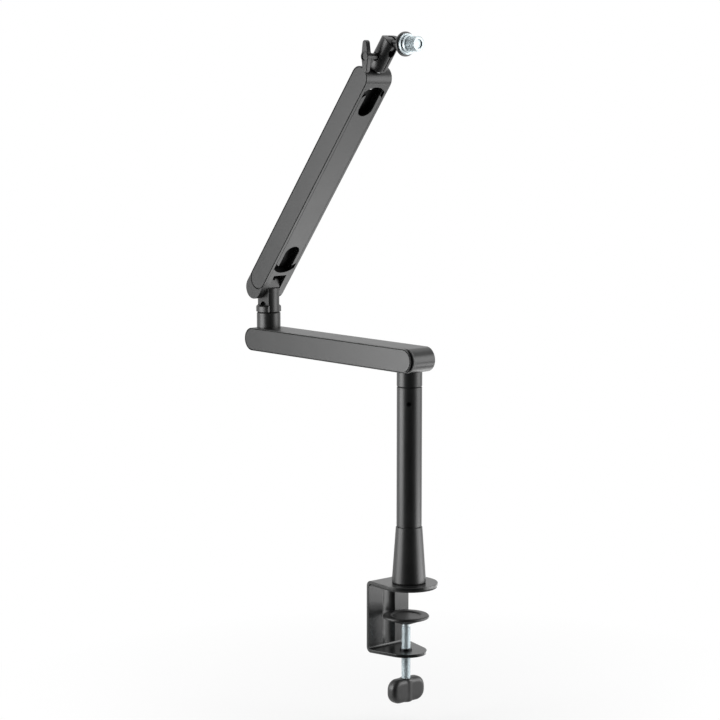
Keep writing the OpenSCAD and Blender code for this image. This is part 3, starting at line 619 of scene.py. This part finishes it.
# %% Collar on the lower arm's post
COLLAR_LOW = TUBE_TOP + GAP
COLLAR_R = 13.6
RELIEF_LOW, RELIEF_TOP = POST_LOW + 10, POST_LOW + 16
post = turned("lower_collar", [
    (0, POST_LOW), (JOURNAL_R - 1, POST_LOW), (JOURNAL_R, POST_LOW + 1),
    (JOURNAL_R, RELIEF_LOW), (JOURNAL_R - 1, RELIEF_LOW),
    (JOURNAL_R - 1, RELIEF_TOP), (JOURNAL_R, RELIEF_TOP),
    (JOURNAL_R, COLLAR_LOW), (COLLAR_R, COLLAR_LOW, EDGE),
    (COLLAR_R, ARM_LOW), (BOSS_R - FINE, ARM_LOW),
    (BOSS_R - FINE, POST_TOP), (0, POST_TOP)])
hand_over(shade(post), powder_coat, "swivel_post")

# %% Collar under the elbow
HOUSING_R = 13.5
collar = turned("elbow_collar", [
    (JOURNAL_R, HOUSING_LOW), (TUBE_BORE - FINE, HOUSING_LOW),
    (TUBE_BORE - FINE, ARM_TOP), (HOUSING_R, ARM_TOP),
    (HOUSING_R, HOUSING_TOP, 0.2), (JOURNAL_R, HOUSING_TOP)],
    centre=(ELBOW_X, 0, 0), closed=True)
hand_over(shade(collar), powder_coat, "elbow_housing")

# %% [markdown]
# ## Side plates
#
# A thin plate closes each side of both arms. A fine rim runs round it, and
# between rim and face there is a deep narrow groove. That groove is the dark
# line which the photograph shows along the whole arm. The plate is milled
# like a tray, and a smaller round-ended bar is set into it as its face. Only
# the rim of the side that points out is picked and bevelled.

# %% Side plates
PLATE_R = 12.93
TRAY_R = 12.75
FACE_R = 11.65
FACE_EDGE = 0.25
TRAY_FLOOR = PLATE_IN + 0.6


def side_plate(name, first, last, side, matrix):
    """side is -1 for the near plate and 1 for the far one."""
    def bar(label, radius, inner, outer):
        return round_bar(label, first, last, radius,
                         *sorted((inner * side, outer * side)))

    plate = bar(name, PLATE_R, PLATE_IN, PLATE_OUT)
    mill(plate, bar("tray", TRAY_R, TRAY_FLOOR, PLATE_OUT + 1))
    face = bar("face", FACE_R, PLATE_IN + 0.3, PLATE_OUT)
    edit(face)
    choose("EDGE", lambda e: all(abs(v.co.y - PLATE_OUT * side * MM) < SAME
                                 for v in e.verts))
    bpy.ops.mesh.bevel(offset=FACE_EDGE * MM, segments=3, affect="EDGES")
    rest()
    mill(plate, face, work="UNION")
    shade(plate)
    return place(plate, matrix)


for word, side in (("near", -1), ("far", 1)):
    hand_over(side_plate(f"lower_plate_{word}", *LOWER_PLATE, side, ON_LOWER),
              powder_coat, f"lower_side_{word}")
    hand_over(side_plate(f"upper_plate_{word}", *UPPER_PLATE, side, ON_UPPER),
              powder_coat, f"upper_side_{word}")

# %% [markdown]
# ## Frames of the two arms
#
# Each arm's frame is an aluminium bar with round ends, hollowed from its
# underside so that the microphone's cable can lie in it. Sawing, milling and
# drilling are done here in the same order: a round-ended bar, a long pocket,
# a shallow seat with curved ends for the cable cover, and the bores. Then a
# fine bevel breaks all the edges at once.
#
# The upper frame is as wide as its side plates at the elbow, where it forms
# the fork. Its two side recesses, in which the plates lie, are cut after the
# bevel, because a plate meets the fork in a sharp, tight line.

# %% Frame of the lower arm
BEYOND = 15
BREAK = 0.3
POCKET_HALF = 12
SEAT_R, SEAT_X = 19, 10.5
LOWER_SEAT = (-219.4, -19.6)
lower = round_bar("lower_spine", *LOWER_ENDS, ARM_R, -PLATE_IN, PLATE_IN)
mill(lower,
     block("pocket", (-10, -POCKET_HALF, -224), (BEYOND, POCKET_HALF, -15)),
     round_plate("seat", LOWER_SEAT[0] + SEAT_R, LOWER_SEAT[1] - SEAT_R,
                 SEAT_R, SEAT_X, BEYOND),
     rod("post_bore", BOSS_R, (BEYOND, 0, 0), (-5, 0, 0)),
     rod("boss_bore", TUBE_BORE, (-BEYOND, 0, ELBOW_X), (-3, 0, ELBOW_X)),
     rod("through_bore", 8.4, (-BEYOND, 0, ELBOW_X), (10, 0, ELBOW_X)),
     rod("access_bore", 12, (BEYOND, 0, ELBOW_X), (-1, 0, ELBOW_X)))
soften(lower, BREAK)
place(lower, ON_LOWER)
hand_over(lower, powder_coat, "lower_frame")

# %% Frame of the upper arm
FORK_HALF = 8.8
UPPER_SEAT = (32.6, 297)
STEP_AT = UPPER_PLATE[0]
upper = round_bar("upper_spine", *UPPER_ENDS, ARM_R, -PLATE_OUT, PLATE_OUT)
mill(upper,
     block("fork", (-10, -FORK_HALF, -15), (BEYOND, FORK_HALF, 28)),
     block("link", (-10, -FORK_HALF, 27), (2, FORK_HALF, 35)),
     block("pocket", (-10, -POCKET_HALF, 31.6), (11.5, POCKET_HALF, 296)),
     round_plate("seat", UPPER_SEAT[0] + SEAT_R, UPPER_SEAT[1] - SEAT_R,
                 SEAT_R, SEAT_X, BEYOND),
     rod("washer_seat", 6.7, (0, 0, 311.3), (0, 0, 320)))
soften(upper, BREAK)
for side in (-1, 1):
    inner, outer = sorted((PLATE_IN * side, 19.0 * side))
    mill(upper,
         block("side_step", (-BEYOND, inner, STEP_AT), (BEYOND, outer, 330)),
         rod("side_round", 12.95, (0, inner, STEP_AT), (0, outer, STEP_AT)))
shade(upper)
place(upper, ON_UPPER)
hand_over(upper, powder_coat, "upper_frame")

# %% [markdown]
# ## Cable covers
#
# The cover is a strip of the same colour that snaps over the cable. Both of
# its ends are curved, and a U-shaped slot lets the cable in and out. A flat
# plate with round ends is trimmed at both sides with the bisect tool, the two
# slots are milled, and two ribs on the hidden side hold it in the arm.

# %% Cable covers
COVER_GAP = 7.8
COVER_HALF = 14.2
SLOT_R, SLOT_DEPTH = 9.5, 21.6


def trim_sides(piece, half):
    """Cuts a piece off at both sides, half its width from the middle."""
    edit(piece)
    for side in (-1, 1):
        bpy.ops.mesh.select_all(action="SELECT")
        bpy.ops.mesh.bisect(plane_co=mm(0, half * side, 0),
                            plane_no=(0, side, 0), use_fill=True,
                            clear_outer=True)
    rest()


def cable_cover(name, first, last, matrix):
    """first and last are the ends of the seat it lies in."""
    foot_end, head_end = first + COVER_GAP, last - COVER_GAP
    strip = round_plate(name, foot_end + SEAT_R, head_end - SEAT_R,
                        SEAT_R, SEAT_X, ARM_R)
    trim_sides(strip, COVER_HALF)
    mill(strip,
         round_plate("slot", foot_end - 12, foot_end + SLOT_DEPTH, SLOT_R,
                     9, BEYOND, 64),
         round_plate("slot", head_end - SLOT_DEPTH, head_end + 12, SLOT_R,
                     9, BEYOND, 64))
    ribs = [block("rib", (8.5, low, foot_end + 38),
                  (11, low + 1, head_end - 38)) for low in (-11.8, 10.8)]
    mill(strip, *ribs, work="UNION")
    soften(strip, BREAK)
    return place(strip, matrix)


hand_over(cable_cover("lower_strip", *LOWER_SEAT, ON_LOWER),
          powder_coat, "lower_cable_cover")
hand_over(cable_cover("upper_strip", *UPPER_SEAT, ON_UPPER),
          powder_coat, "upper_cable_cover")

# %% [markdown]
# ## The elbow post
#
# The post turns in the collar and carries the tilt joint. It was turned to a
# column with a wider ring at its foot, milled flat on both sides for the
# fork, and cut back on two sides of the ring. A ball cutter left a dip where
# the flat runs into the ring. Above the column stands a tongue with rounded
# corners, which carries the tilt pin. A small crease divides the two, and a
# narrow slot in the tongue's top lets the spring's hook reach its pin. The
# same cuts are made here, one by one.

# %% Column, ring and tongue of the elbow post
COLUMN_R = 12.5
COLUMN_LOW, COLUMN_TOP = 277.9, 305.4
RING_R, RING_TOP = 14.2, 285.4
TONGUE_HALF, TONGUE_CORNER = 10, 4.5
column = rod("post_column", COLUMN_R, (ELBOW_X, 0, COLUMN_LOW),
             (ELBOW_X, 0, COLUMN_TOP))
trim_sides(column, BOSS_R)
ring = turned("post_ring", [
    (0, COLUMN_LOW), (RING_R, COLUMN_LOW), (RING_R, RING_TOP - 1.5),
    (RING_R - 1.5, RING_TOP), (0, RING_TOP)], centre=(ELBOW_X, 0, 0))
keep = rod("ring_round", COLUMN_R, (ELBOW_X, 0, 277), (ELBOW_X, 0, 286))
mill(keep, block("ears", (ELBOW_X - 10.5, -15, 276.5),
                 (ELBOW_X + 10.5, 15, 286.5)), work="UNION")
mill(ring, keep, work="INTERSECT")
tongue = block(
    "tongue", (ELBOW_X - TONGUE_HALF, FINE - BOSS_R, PIN_Z - TONGUE_HALF),
    (ELBOW_X + TONGUE_HALF, BOSS_R - FINE, PIN_Z + TONGUE_HALF))
edit(tongue)
corners = choose("EDGE", lambda e: length_along(e, "y") > BOSS_R * MM)
bpy.ops.mesh.bevel(offset=TONGUE_CORNER * MM, segments=8, affect="EDGES")
rest()
print("tongue corners rounded:", corners)

# %% The post in one piece, and its cuts
mill(column, ring, tongue,
     rod("spigot", BOSS_R, (ELBOW_X, 0, 237.2), (ELBOW_X, 0, 278)),
     work="UNION")
creases = [block("crease", (ELBOW_X + low, -9, COLUMN_TOP - 0.5),
                 (ELBOW_X + low + 5.4, 9, COLUMN_TOP + 0.3))
           for low in (8.6, -14)]
mill(column,
     rod("pin_bore", 4, (ELBOW_X, -9, PIN_Z), (ELBOW_X, 9, PIN_Z), 64),
     block("spring_slot", (ELBOW_X - 4, -1.2, PIN_Z + 3.1),
           (ELBOW_X + 4, 1.2, PIN_Z + 14)),
     block("hook_slot", (ELBOW_X, -1.1, PIN_Z + 5.4),
           (ELBOW_X + 13, 1.1, PIN_Z + 14)),
     *creases,
     ball("dip", 4.8, (ELBOW_X, -7.6, RING_TOP - 0.5)))
soften(column, 0.35)
hand_over(column, powder_coat, "elbow_post")

# %% [markdown]
# ## The ball head
#
# The socket is a turned sleeve with a domed end. A slit runs down its middle,
# and a wing screw pulls the two halves together onto the ball. A slot on the
# underside lets the stud swing down. The sleeve is turned, and then only what
# it shares with a bar whose end is a flattened arch is kept, so that its end
# is domed in one direction. That leaves the cutters to do the rest.

# %% Sleeve of the ball socket
SOCKET_R = 10.5
SOCKET_LOW = 313.5
BALL_AT = 344.6
OPEN_END = BALL_AT + 20
socket = turned("socket_sleeve", [
    (0, SOCKET_LOW), (SOCKET_R, SOCKET_LOW, 1.6), (SOCKET_R, BALL_AT + 12),
    (0, BALL_AT + 12)])
profile = round_bar("end_profile", 300, BALL_AT, SOCKET_R + FINE, -12, 12)
edit(profile)
choose("VERT", lambda v: v.co.z > (BALL_AT + 0.01) * MM)
bpy.ops.transform.resize(value=(1, 1, 0.8),
                         center_override=mm(0, 0, BALL_AT))
rest()
mill(socket, profile, work="INTERSECT")
soften(socket, 0.7, 3)

# %% Seat, slots and bores of the ball socket
WING_AT = 328.5
STEM_HALF = 4.15
DROP_AT = BALL_AT - 5.5
SLIT_HALF = 0.5
mill(socket,
     ball("ball_seat", 8.04, (0, 0, BALL_AT)),
     rod("mouth", STEM_HALF, (0, 0, BALL_AT), (0, 0, OPEN_END), 64),
     block("drop_slot", (2, -STEM_HALF, DROP_AT), (15, STEM_HALF, OPEN_END)),
     rod("slot_end", STEM_HALF, (2, 0, DROP_AT), (15, 0, DROP_AT), 64),
     block("slit", (-15, -SLIT_HALF, 317.5), (15, SLIT_HALF, OPEN_END)),
     rod("screw_bore", 3.6, (0, -15, WING_AT), (0, 8, WING_AT), 64),
     rod("sunk_face", 4.8, (0, -15, WING_AT), (0, -7.5, WING_AT), 64))
soften(socket, 0.2)
place(socket, ON_UPPER)
hand_over(socket, powder_coat, "ball_socket")

# %% [markdown]
# ## Ball, stem and stud
#
# Ball, stem and flange are one turned piece. The stud behind the flange
# carries the threaded sleeve for the microphone, so its end shows as bright
# metal in the sleeve's bore. The stem lies along the x axis, and the outline
# is spun round that. The ball's part of the outline is an arc of short steps,
# and the faces of the stud are picked by their place for a second finish.

# %% Ball and stem
BALL_R = 8
STEM_R = 3.8
STUD_R, STUD_END = 4.7, 45.5
FLANGE_R, FLANGE_END = 13, 27.1
AHEAD = {"centre": BALL, "along": (1, 0, 0), "out": (0, 0, 1)}
arc = [(BALL_R * math.sin(t), -BALL_R * math.cos(t))
       for t in (math.radians(6 * k) for k in range(1, 26))]
stem = turned("ball_and_stem", [
    (0, -BALL_R), *arc, (STEM_R, 7.04), (STEM_R, 18.9, 0.8), (7, 22.7, 0.8),
    (11.5, 23.9, 0.3), (FLANGE_R, 24.9, 0.3), (FLANGE_R, FLANGE_END, 0.3),
    (STUD_R, FLANGE_END), (STUD_R, STUD_END, 0.3), (0, STUD_END)], **AHEAD)
hand_over(shade(stem), powder_coat, "ball_stem")
stem.data.materials.append(zinc_plate)
edit(stem)
stud_x = (BALL[0] + FLANGE_END + 0.2) * MM
faces = choose("FACE", lambda f: f.calc_center_median().x > stud_x)
stem.active_material_index = 1
bpy.ops.object.material_slot_assign()
rest()
print("bright faces on the stud:", faces)

# %% Threaded sleeve
BORE_R = 4.8
MIC_CORE_R, MIC_CREST_R = 7.42, 7.9375
SLEEVE_END = 46.9
sleeve = turned("thread_sleeve", [
    (BORE_R, FLANGE_END), (11, FLANGE_END, 0.25), (11, 30.8, 0.35),
    (9.25, 30.8), (9.25, 34.6, 0.3), (MIC_CORE_R, 34.6),
    (MIC_CORE_R, SLEEVE_END, 0.45), (BORE_R, SLEEVE_END, 0.3)],
    closed=True, **AHEAD)
shade(sleeve)
teeth = thread("sleeve_thread", MIC_CORE_R - 0.06, MIC_CREST_R, pitch=0.94,
               turns=12, base=(BALL[0] + 35.3, 0, BALL[2]), along=(1, 0, 0),
               out=(0, 0, 1))
hand_over(join(sleeve, teeth), zinc_plate, "thread_adapter")

# %% [markdown]
# ## Wing screw
#
# The wing screw is moulded over a steel shaft. It is a bar with rounded tips
# that is thickest at its hub and tapers to both ends: the bar is cut in the
# middle, and the new edge loop there is made wider. The hub stands slightly
# proud of the wings and has a sunk face. All edges are well rounded.

# %% Wing screw
WING_HALF, WING_TIP_R = 13.6, 3.4
RECESS_R, WING_HUB_R, SHAFT_R = 4.4, 5.8, 3.5
HUB_FRONT, FACE_AT, SHAFT_END = -26, -24.7, 7.2
wing = round_bar("wing_grip", -WING_HALF, WING_HALF, WING_TIP_R,
                 -25.7, -20.3, 48)
edit(wing)
bpy.ops.mesh.select_all(action="SELECT")
bpy.ops.mesh.bisect(plane_co=(0, 0, 0), plane_no=(0, 0, 1))
choose("VERT", lambda v: abs(v.co.z) < SAME)
bpy.ops.transform.resize(value=(1.6, 1, 1), center_override=(0, 0, 0))
rest()
soften(wing, 0.9, 4, smooth=50)
mill(wing, rod("recess", RECESS_R, (0, -27, 0), (0, -24.6, 0), 64))
hub = turned("wing_hub", [
    (0, FACE_AT), (RECESS_R, FACE_AT), (RECESS_R, HUB_FRONT, 0.3),
    (WING_HUB_R, HUB_FRONT, 0.9), (WING_HUB_R, -19.6, 0.9), (4.2, -19.2),
    (4.0, -18.2), (SHAFT_R, -18.0), (SHAFT_R, SHAFT_END, 0.4),
    (0, SHAFT_END)],
    along=(0, 1, 0), out=(1, 0, 0), steps=64)
join(shade(wing, 50), shade(hub, 50))
place(wing, Matrix.Translation(mm(WING[0], 0, WING[2])))
hand_over(wing, moulded_black, "wing_screw")

# %% [markdown]
# ## The clamp
#
# The bracket is one strip of steel plate, bent twice, with a pressed bead
# that stiffens its back. Its outline is already exact in the CAD solid, and
# plate has no shape beyond that but its broken edges. So a copy of the solid
# is used: its loose triangles are merged, flat areas become single faces
# again, the stored normals are dropped, and the bevel rounds the rims that
# catch the light. The copy also loses the marks that name it a CAD node.

# %% Clamp bracket
only(cad_nodes["clamp_bracket"])
bpy.ops.object.duplicate()
bracket = bpy.context.active_object
bracket.name = bracket.data.name = "bent_bracket"
for key in list(bracket.keys()):
    del bracket[key]
edit(bracket)
bpy.ops.mesh.select_all(action="SELECT")
bpy.ops.mesh.remove_doubles(threshold=2 * SAME)
bpy.ops.mesh.dissolve_limited(angle_limit=math.radians(0.5))
rest()
only(bracket)
bpy.ops.mesh.customdata_custom_splitnormals_clear()
soften(bracket, 0.45, 3)
hand_over(bracket, clamp_coat, "clamp_bracket")

# %% [markdown]
# ## Clamp screw, pad and knob
#
# The screw is a zinc plated M10 screw: a turned core with a ridge of the
# thread's real pitch. The pad is a shallow moulded dish that swivels on the
# screw's ball. The knob is as round as a pebble: a block whose corners are
# rounded in two directions is joined to a round hub, and then both are melted.

# %% Clamp screw
JACK_CORE_R, JACK_CREST_R = 4.2, 5
NECK_R, JACK_TIP_R = 3.5, 2.95
RIM_R, RIM_LOW, SCREW_TOP = 3.25, -36.0, -35.6
core = turned("jack_screw", [
    (0, -118), (JACK_CORE_R, -118), (JACK_CORE_R, -43.2, 0.6),
    (NECK_R, -42.4), (NECK_R, -40.95), (JACK_TIP_R, -40.95),
    (JACK_TIP_R, RIM_LOW), (RIM_R, RIM_LOW), (RIM_R, SCREW_TOP),
    (0, SCREW_TOP)], centre=(SCREW_X, 0, 0), steps=64)
ridge = thread("jack_thread", JACK_CORE_R - 0.1, JACK_CREST_R, pitch=1.5,
               turns=39, base=(SCREW_X, 0, -102.5), along=(0, 0, 1),
               out=(1, 0, 0), steps=36)
hand_over(join(shade(core), ridge), zinc_plate, "clamp_screw")

# %% Pressure pad
PAD_R = 25
PAD_TOP, BALL_BELOW = -31.5, 7
dish = turned("pressure_dish", [
    (0, -1.5), (14.5, -1.5, 0.8), (16.5, -0.4, 0.4), (18, 0, 0.5),
    (23.8, 0, 0.5), (PAD_R, -1.3, 0.4), (PAD_R, -3, 0.4), (22, -4.2, 0.8),
    (14.5, -6.2, 0.6), (13.6, -7.2, 0.4), (10, -7.9, 0.8),
    (8.2, -8.9, 0.3), (7.8, -9.3, 0.2), (4.1, -9.3), (4.1, -8.5),
    (0, -8.5)], centre=(SCREW_X, 0, PAD_TOP))
mill(dish, ball("ball_seat", 4.54, (SCREW_X, 0, PAD_TOP - BALL_BELOW)))
hand_over(shade(dish), moulded_black, "pressure_pad")

# %% Knob
KNOB_LOW, KNOB_TOP = -127.5, -101
KNOB_HALF, GRIP_HALF = 23, 7
KNOB_HUB_R = 7.5
knob = block("knob_grip", (SCREW_X - GRIP_HALF, -KNOB_HALF, KNOB_LOW),
             (SCREW_X + GRIP_HALF, KNOB_HALF, KNOB_TOP))
edit(knob)
choose("EDGE", lambda e: length_along(e, "y") < SAME
       and length_along(e, "z") < SAME)
bpy.ops.mesh.bevel(offset=11 * MM, segments=12, affect="EDGES")
choose("EDGE", lambda e: length_along(e, "x") < SAME)
bpy.ops.mesh.bevel(offset=5 * MM, segments=6, affect="EDGES")
rest()
hub = turned("knob_hub", [(0, KNOB_LOW), (KNOB_HUB_R, KNOB_LOW, 2.5),
                          (KNOB_HUB_R, KNOB_TOP, 2.5), (0, KNOB_TOP)],
             centre=(SCREW_X, 0, 0))
mill(knob, hub, work="UNION")
melt(knob, grain=0.5, passes=30)
mill(knob, rod("screw_seat", 5.8, (SCREW_X, 0, KNOB_TOP - 1),
               (SCREW_X, 0, KNOB_TOP + 2), 64))
shade(knob, 60)
hand_over(knob, moulded_black, "clamp_knob")

# %% [markdown]
# ## The spring
#
# A long extension spring inside the upper arm carries its weight. It is
# hidden in normal use, but anyone who lifts the cover will see it, so it gets
# real coils: a small circle swept along a tight helix. At each end a straight
# hook leads to an eye that goes round a pin.

# %% Counterbalance spring
WIRE_R = 0.88
SPRING_X = -3.9
COIL_R = 4.55
COIL_LOW, COIL_TOP = 47.0, 252.5
LOWER_EYE = (-1.063, 0, 11.2)
UPPER_EYE = (SPRING_X, 0, 283.5)
rest()
bpy.ops.mesh.primitive_circle_add(
    vertices=8, radius=WIRE_R * MM, location=mm(COIL_R, 0, 0),
    rotation=(math.pi / 2, 0, 0))
spring = climb(start("balance_spring"), pitch=1.8, turns=114, steps=20)
place(shade(spring), Matrix.Translation(mm(SPRING_X, 0, COIL_LOW)))
hooks = [rod("hook", 0.8, LOWER_EYE, (SPRING_X, 0, COIL_LOW - 0.5), 12),
         rod("hook", 0.8, (SPRING_X, 0, COIL_TOP), UPPER_EYE, 12)]
for centre, inside in ((LOWER_EYE, 1.6), (UPPER_EYE, 2.6)):
    rest()
    bpy.ops.mesh.primitive_torus_add(
        major_radius=(inside + 0.9) * MM, minor_radius=WIRE_R * MM,
        major_segments=32, minor_segments=8, location=mm(*centre),
        rotation=(math.pi / 2, 0, 0))
    hooks.append(start("eye"))
for hook in hooks:
    shade(hook, 60)
join(spring, *hooks)
place(spring, ON_UPPER)
hand_over(spring, plain_steel, "counter_spring")

# %% [markdown]
# ## Parts that keep their CAD shape
#
# Bushes, washers, pins and bolts are plain round parts that are almost fully
# hidden, and so are the clamp's rubber and the sheet under the cable. Their
# CAD solids are right as they are, and only get a finish. The black nylon
# bushes, washers and cable sheet are painted darker than their own colour:
# painted shade for the narrow grooves where their rims show.

# %% Finishes for the CAD parts
small_parts = {
    soft_rubber: ("top_grip_pad",),
    # These nylon parts get the colour darkened past black nylon, as painted
    # shade for the grooves they sit in.
    nylon_with_painted_shade: ("riser_bush", "elbow_bush", "foot_washer", "tilt_washers",
                 "channel_floor"),
    pale_nylon: ("tilt_bush",),
    moulded_black: ("access_plug",),
    black_oxide: ("tension_screw", "tilt_pin", "clamp_insert"),
}
for node, part in cad_nodes.items():
    if part.hide_render:
        continue
    kind = next((m for m, names in small_parts.items() if node in names),
                plain_steel)
    part.data.materials.clear()
    part.data.materials.append(kind)
    print(node, "->", kind.name)

# %% [markdown]
# ## A white room
#
# The photograph was taken on white. More light would wash out the object, so
# the white is only in the surfaces: the floor and the world are white where
# the camera, a reflection or glass looks at them. For all other rays the
# floor is plain paper and the world is dim. Near the object the floor keeps
# a share of the paper for the camera too, which shows the shadow.

# %% Floor
FLOOR_Z = -151.5
FADE_FROM, FADE_TO = 0.16, 0.55
SHADOW_SHARE = 0.25


def white_to_eye(nodes, links):
    """1 for camera, mirror and glass rays, and 0 for all others."""
    path = nodes.new("ShaderNodeLightPath")
    seen = path.outputs["Is Camera Ray"]
    for kind in ("Glossy", "Transmission"):
        either = nodes.new("ShaderNodeMath")
        either.operation = "MAXIMUM"
        links.new(seen, either.inputs[0])
        links.new(path.outputs[f"Is {kind} Ray"], either.inputs[1])
        seen = either.outputs[0]
    return seen


def white_paper(name):
    """Plain paper near the object, and a white glow to the eye."""
    material = bpy.data.materials.new(name)
    material.use_nodes = True
    nodes, links = material.node_tree.nodes, material.node_tree.links
    nodes.clear()
    place_on = nodes.new("ShaderNodeTexCoord")
    away = nodes.new("ShaderNodeVectorMath")
    away.operation = "LENGTH"
    links.new(place_on.outputs["Object"], away.inputs[0])
    fade = nodes.new("ShaderNodeMapRange")
    fade.inputs["From Min"].default_value = FADE_FROM
    fade.inputs["From Max"].default_value = FADE_TO
    fade.inputs["To Min"].default_value = 1 - SHADOW_SHARE
    fade.inputs["To Max"].default_value = 1.0
    links.new(away.outputs["Value"], fade.inputs["Value"])
    amount = nodes.new("ShaderNodeMath")
    amount.operation = "MULTIPLY"
    links.new(white_to_eye(nodes, links), amount.inputs[0])
    links.new(fade.outputs["Result"], amount.inputs[1])
    paper = nodes.new("ShaderNodeBsdfDiffuse")
    paper.inputs["Color"].default_value = (0.8, 0.8, 0.8, 1)
    glow = nodes.new("ShaderNodeEmission")
    both = nodes.new("ShaderNodeMixShader")
    links.new(amount.outputs[0], both.inputs["Fac"])
    links.new(paper.outputs[0], both.inputs[1])
    links.new(glow.outputs[0], both.inputs[2])
    out = nodes.new("ShaderNodeOutputMaterial")
    links.new(both.outputs[0], out.inputs["Surface"])
    return material


rest()
bpy.ops.mesh.primitive_plane_add(size=24, location=mm(0, 0, FLOOR_Z))
floor = start("studio_floor")
floor.data.materials.append(white_paper("white_floor"))
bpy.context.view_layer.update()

# %% World
WORLD_DIM, WORLD_WHITE = 0.2, 1.0
world = bpy.data.worlds.new("studio")
bpy.context.scene.world = world
world.use_nodes = True
nodes, links = world.node_tree.nodes, world.node_tree.links
background = nodes["Background"]
background.inputs["Color"].default_value = (1, 1, 1, 1)
level = nodes.new("ShaderNodeMapRange")
level.inputs["To Min"].default_value = WORLD_DIM
level.inputs["To Max"].default_value = WORLD_WHITE
links.new(white_to_eye(nodes, links), level.inputs["Value"])
links.new(level.outputs["Result"], background.inputs["Strength"])
print("world strength:", WORLD_DIM, "to", WORLD_WHITE)

# %% [markdown]
# ## Lights
#
# A large soft light stands on each side and none behind the camera, so every
# round part is light at its left and right and almost black in the middle. A
# weaker light above draws the upper edges. Two small helpers work from
# below: a narrow one low on the right for the clamp, and a reflector on the
# floor behind the object, which lights its undersides.

# %% Lights
TO_CAMERA = Vector((0.7580, -0.6522, 0))
TO_RIGHT = Vector((0.6522, 0.7580, 0))
AIM = mm(-90, 0, 230)
UP = Vector((0, 0, 1))


def softbox(name, middle, look, width, tall, power):
    """A soft light, placed by its middle and the way that it looks."""
    rest()
    bpy.ops.object.light_add(type="AREA", location=middle)
    lamp = bpy.context.active_object
    lamp.name = lamp.data.name = name
    lamp.data.shape = "RECTANGLE"
    lamp.data.size, lamp.data.size_y = width, tall
    lamp.data.energy = power
    lamp.visible_camera = False
    lamp.rotation_mode = "QUATERNION"
    lamp.rotation_quaternion = look.to_track_quat("-Z", "Y")
    print(name, "radiance:", round(power / (math.pi * width * tall), 2))


def aimed_softbox(name, angle, distance, height, width, tall, power):
    """A light that looks at the object, by its angle from the camera."""
    turn = math.radians(angle)
    away = TO_CAMERA * math.cos(turn) + TO_RIGHT * math.sin(turn)
    middle = AIM + away * distance + UP * height
    softbox(name, middle, AIM - middle, width, tall, power)


aimed_softbox("left_softbox", angle=-74, distance=0.9, height=-0.05,
              width=0.7, tall=0.8, power=11)
aimed_softbox("right_softbox", angle=84, distance=1.1, height=0.15,
              width=0.8, tall=0.8, power=7.5)
aimed_softbox("low_right_softbox", angle=84, distance=0.62, height=-0.31,
              width=0.5, tall=0.14, power=1.3)
aimed_softbox("top_softbox", angle=180, distance=0.2, height=1.6,
              width=1.6, tall=1.4, power=16)
softbox("low_reflector", mm(-150, 420, FLOOR_Z + 5.5), UP,
        width=0.45, tall=0.45, power=1.6)

# %% [markdown]
# ## Black cards
#
# A photographer darkens the middle of a shiny tube with black cards. One
# large card stands behind the camera, one hangs level in front of the object,
# and one lies on the floor before it. A small one lies behind it on the left,
# where the elbow's inner edge would mirror the white floor. Only reflections
# see the cards: they take no light from the object and cast no shadow.

# %% Black cards
ON_FLOOR = FLOOR_Z + 1.2
FACING = math.atan2(TO_CAMERA.x, -TO_CAMERA.y)
velvet = bpy.data.materials.new("black_velvet")
velvet.use_nodes = True
nodes, links = velvet.node_tree.nodes, velvet.node_tree.links
nodes.remove(nodes["Principled BSDF"])
pile = nodes.new("ShaderNodeBsdfDiffuse")
pile.inputs["Color"].default_value = (0.002, 0.002, 0.002, 1)
links.new(pile.outputs[0], nodes["Material Output"].inputs["Surface"])


def black_card(name, middle, size, tilt=0):
    """A card that lies flat, or stands when it is tilted."""
    rest()
    bpy.ops.mesh.primitive_plane_add(size=1)
    card = start(name)
    bpy.ops.object.mode_set(mode="EDIT")
    bpy.ops.transform.resize(value=(*size, 1))
    bpy.ops.mesh.select_all(action="SELECT")
    bpy.ops.mesh.subdivide(number_cuts=2)
    place(card, Matrix.LocRotScale(middle, Euler((tilt, 0, FACING)), None))
    card.data.materials.append(velvet)
    card.visible_camera = card.visible_diffuse = card.visible_shadow = False
    print(name, "size in m:", [round(v, 2) for v in card.dimensions])


black_card("standing_card", AIM + TO_CAMERA * 2.6 + UP * 1.6, (6.4, 4.0),
           tilt=math.pi / 2)
black_card("lying_card", TO_CAMERA * 1.35 + mm(-60, 0, ON_FLOOR), (3.2, 2.5))
black_card("left_card", mm(-760, 560, ON_FLOOR), (0.7, 0.9))
black_card("hanging_card", TO_CAMERA * 1.6 + mm(-60, 0, 1900), (5.0, 2.6))

# %% [markdown]
# ## The end
#
# The standard view transform shows a colour as it was written. The dressed
# pieces may not make the object bigger.

# %% Picture settings and the end
bpy.context.scene.view_settings.view_transform = "Standard"
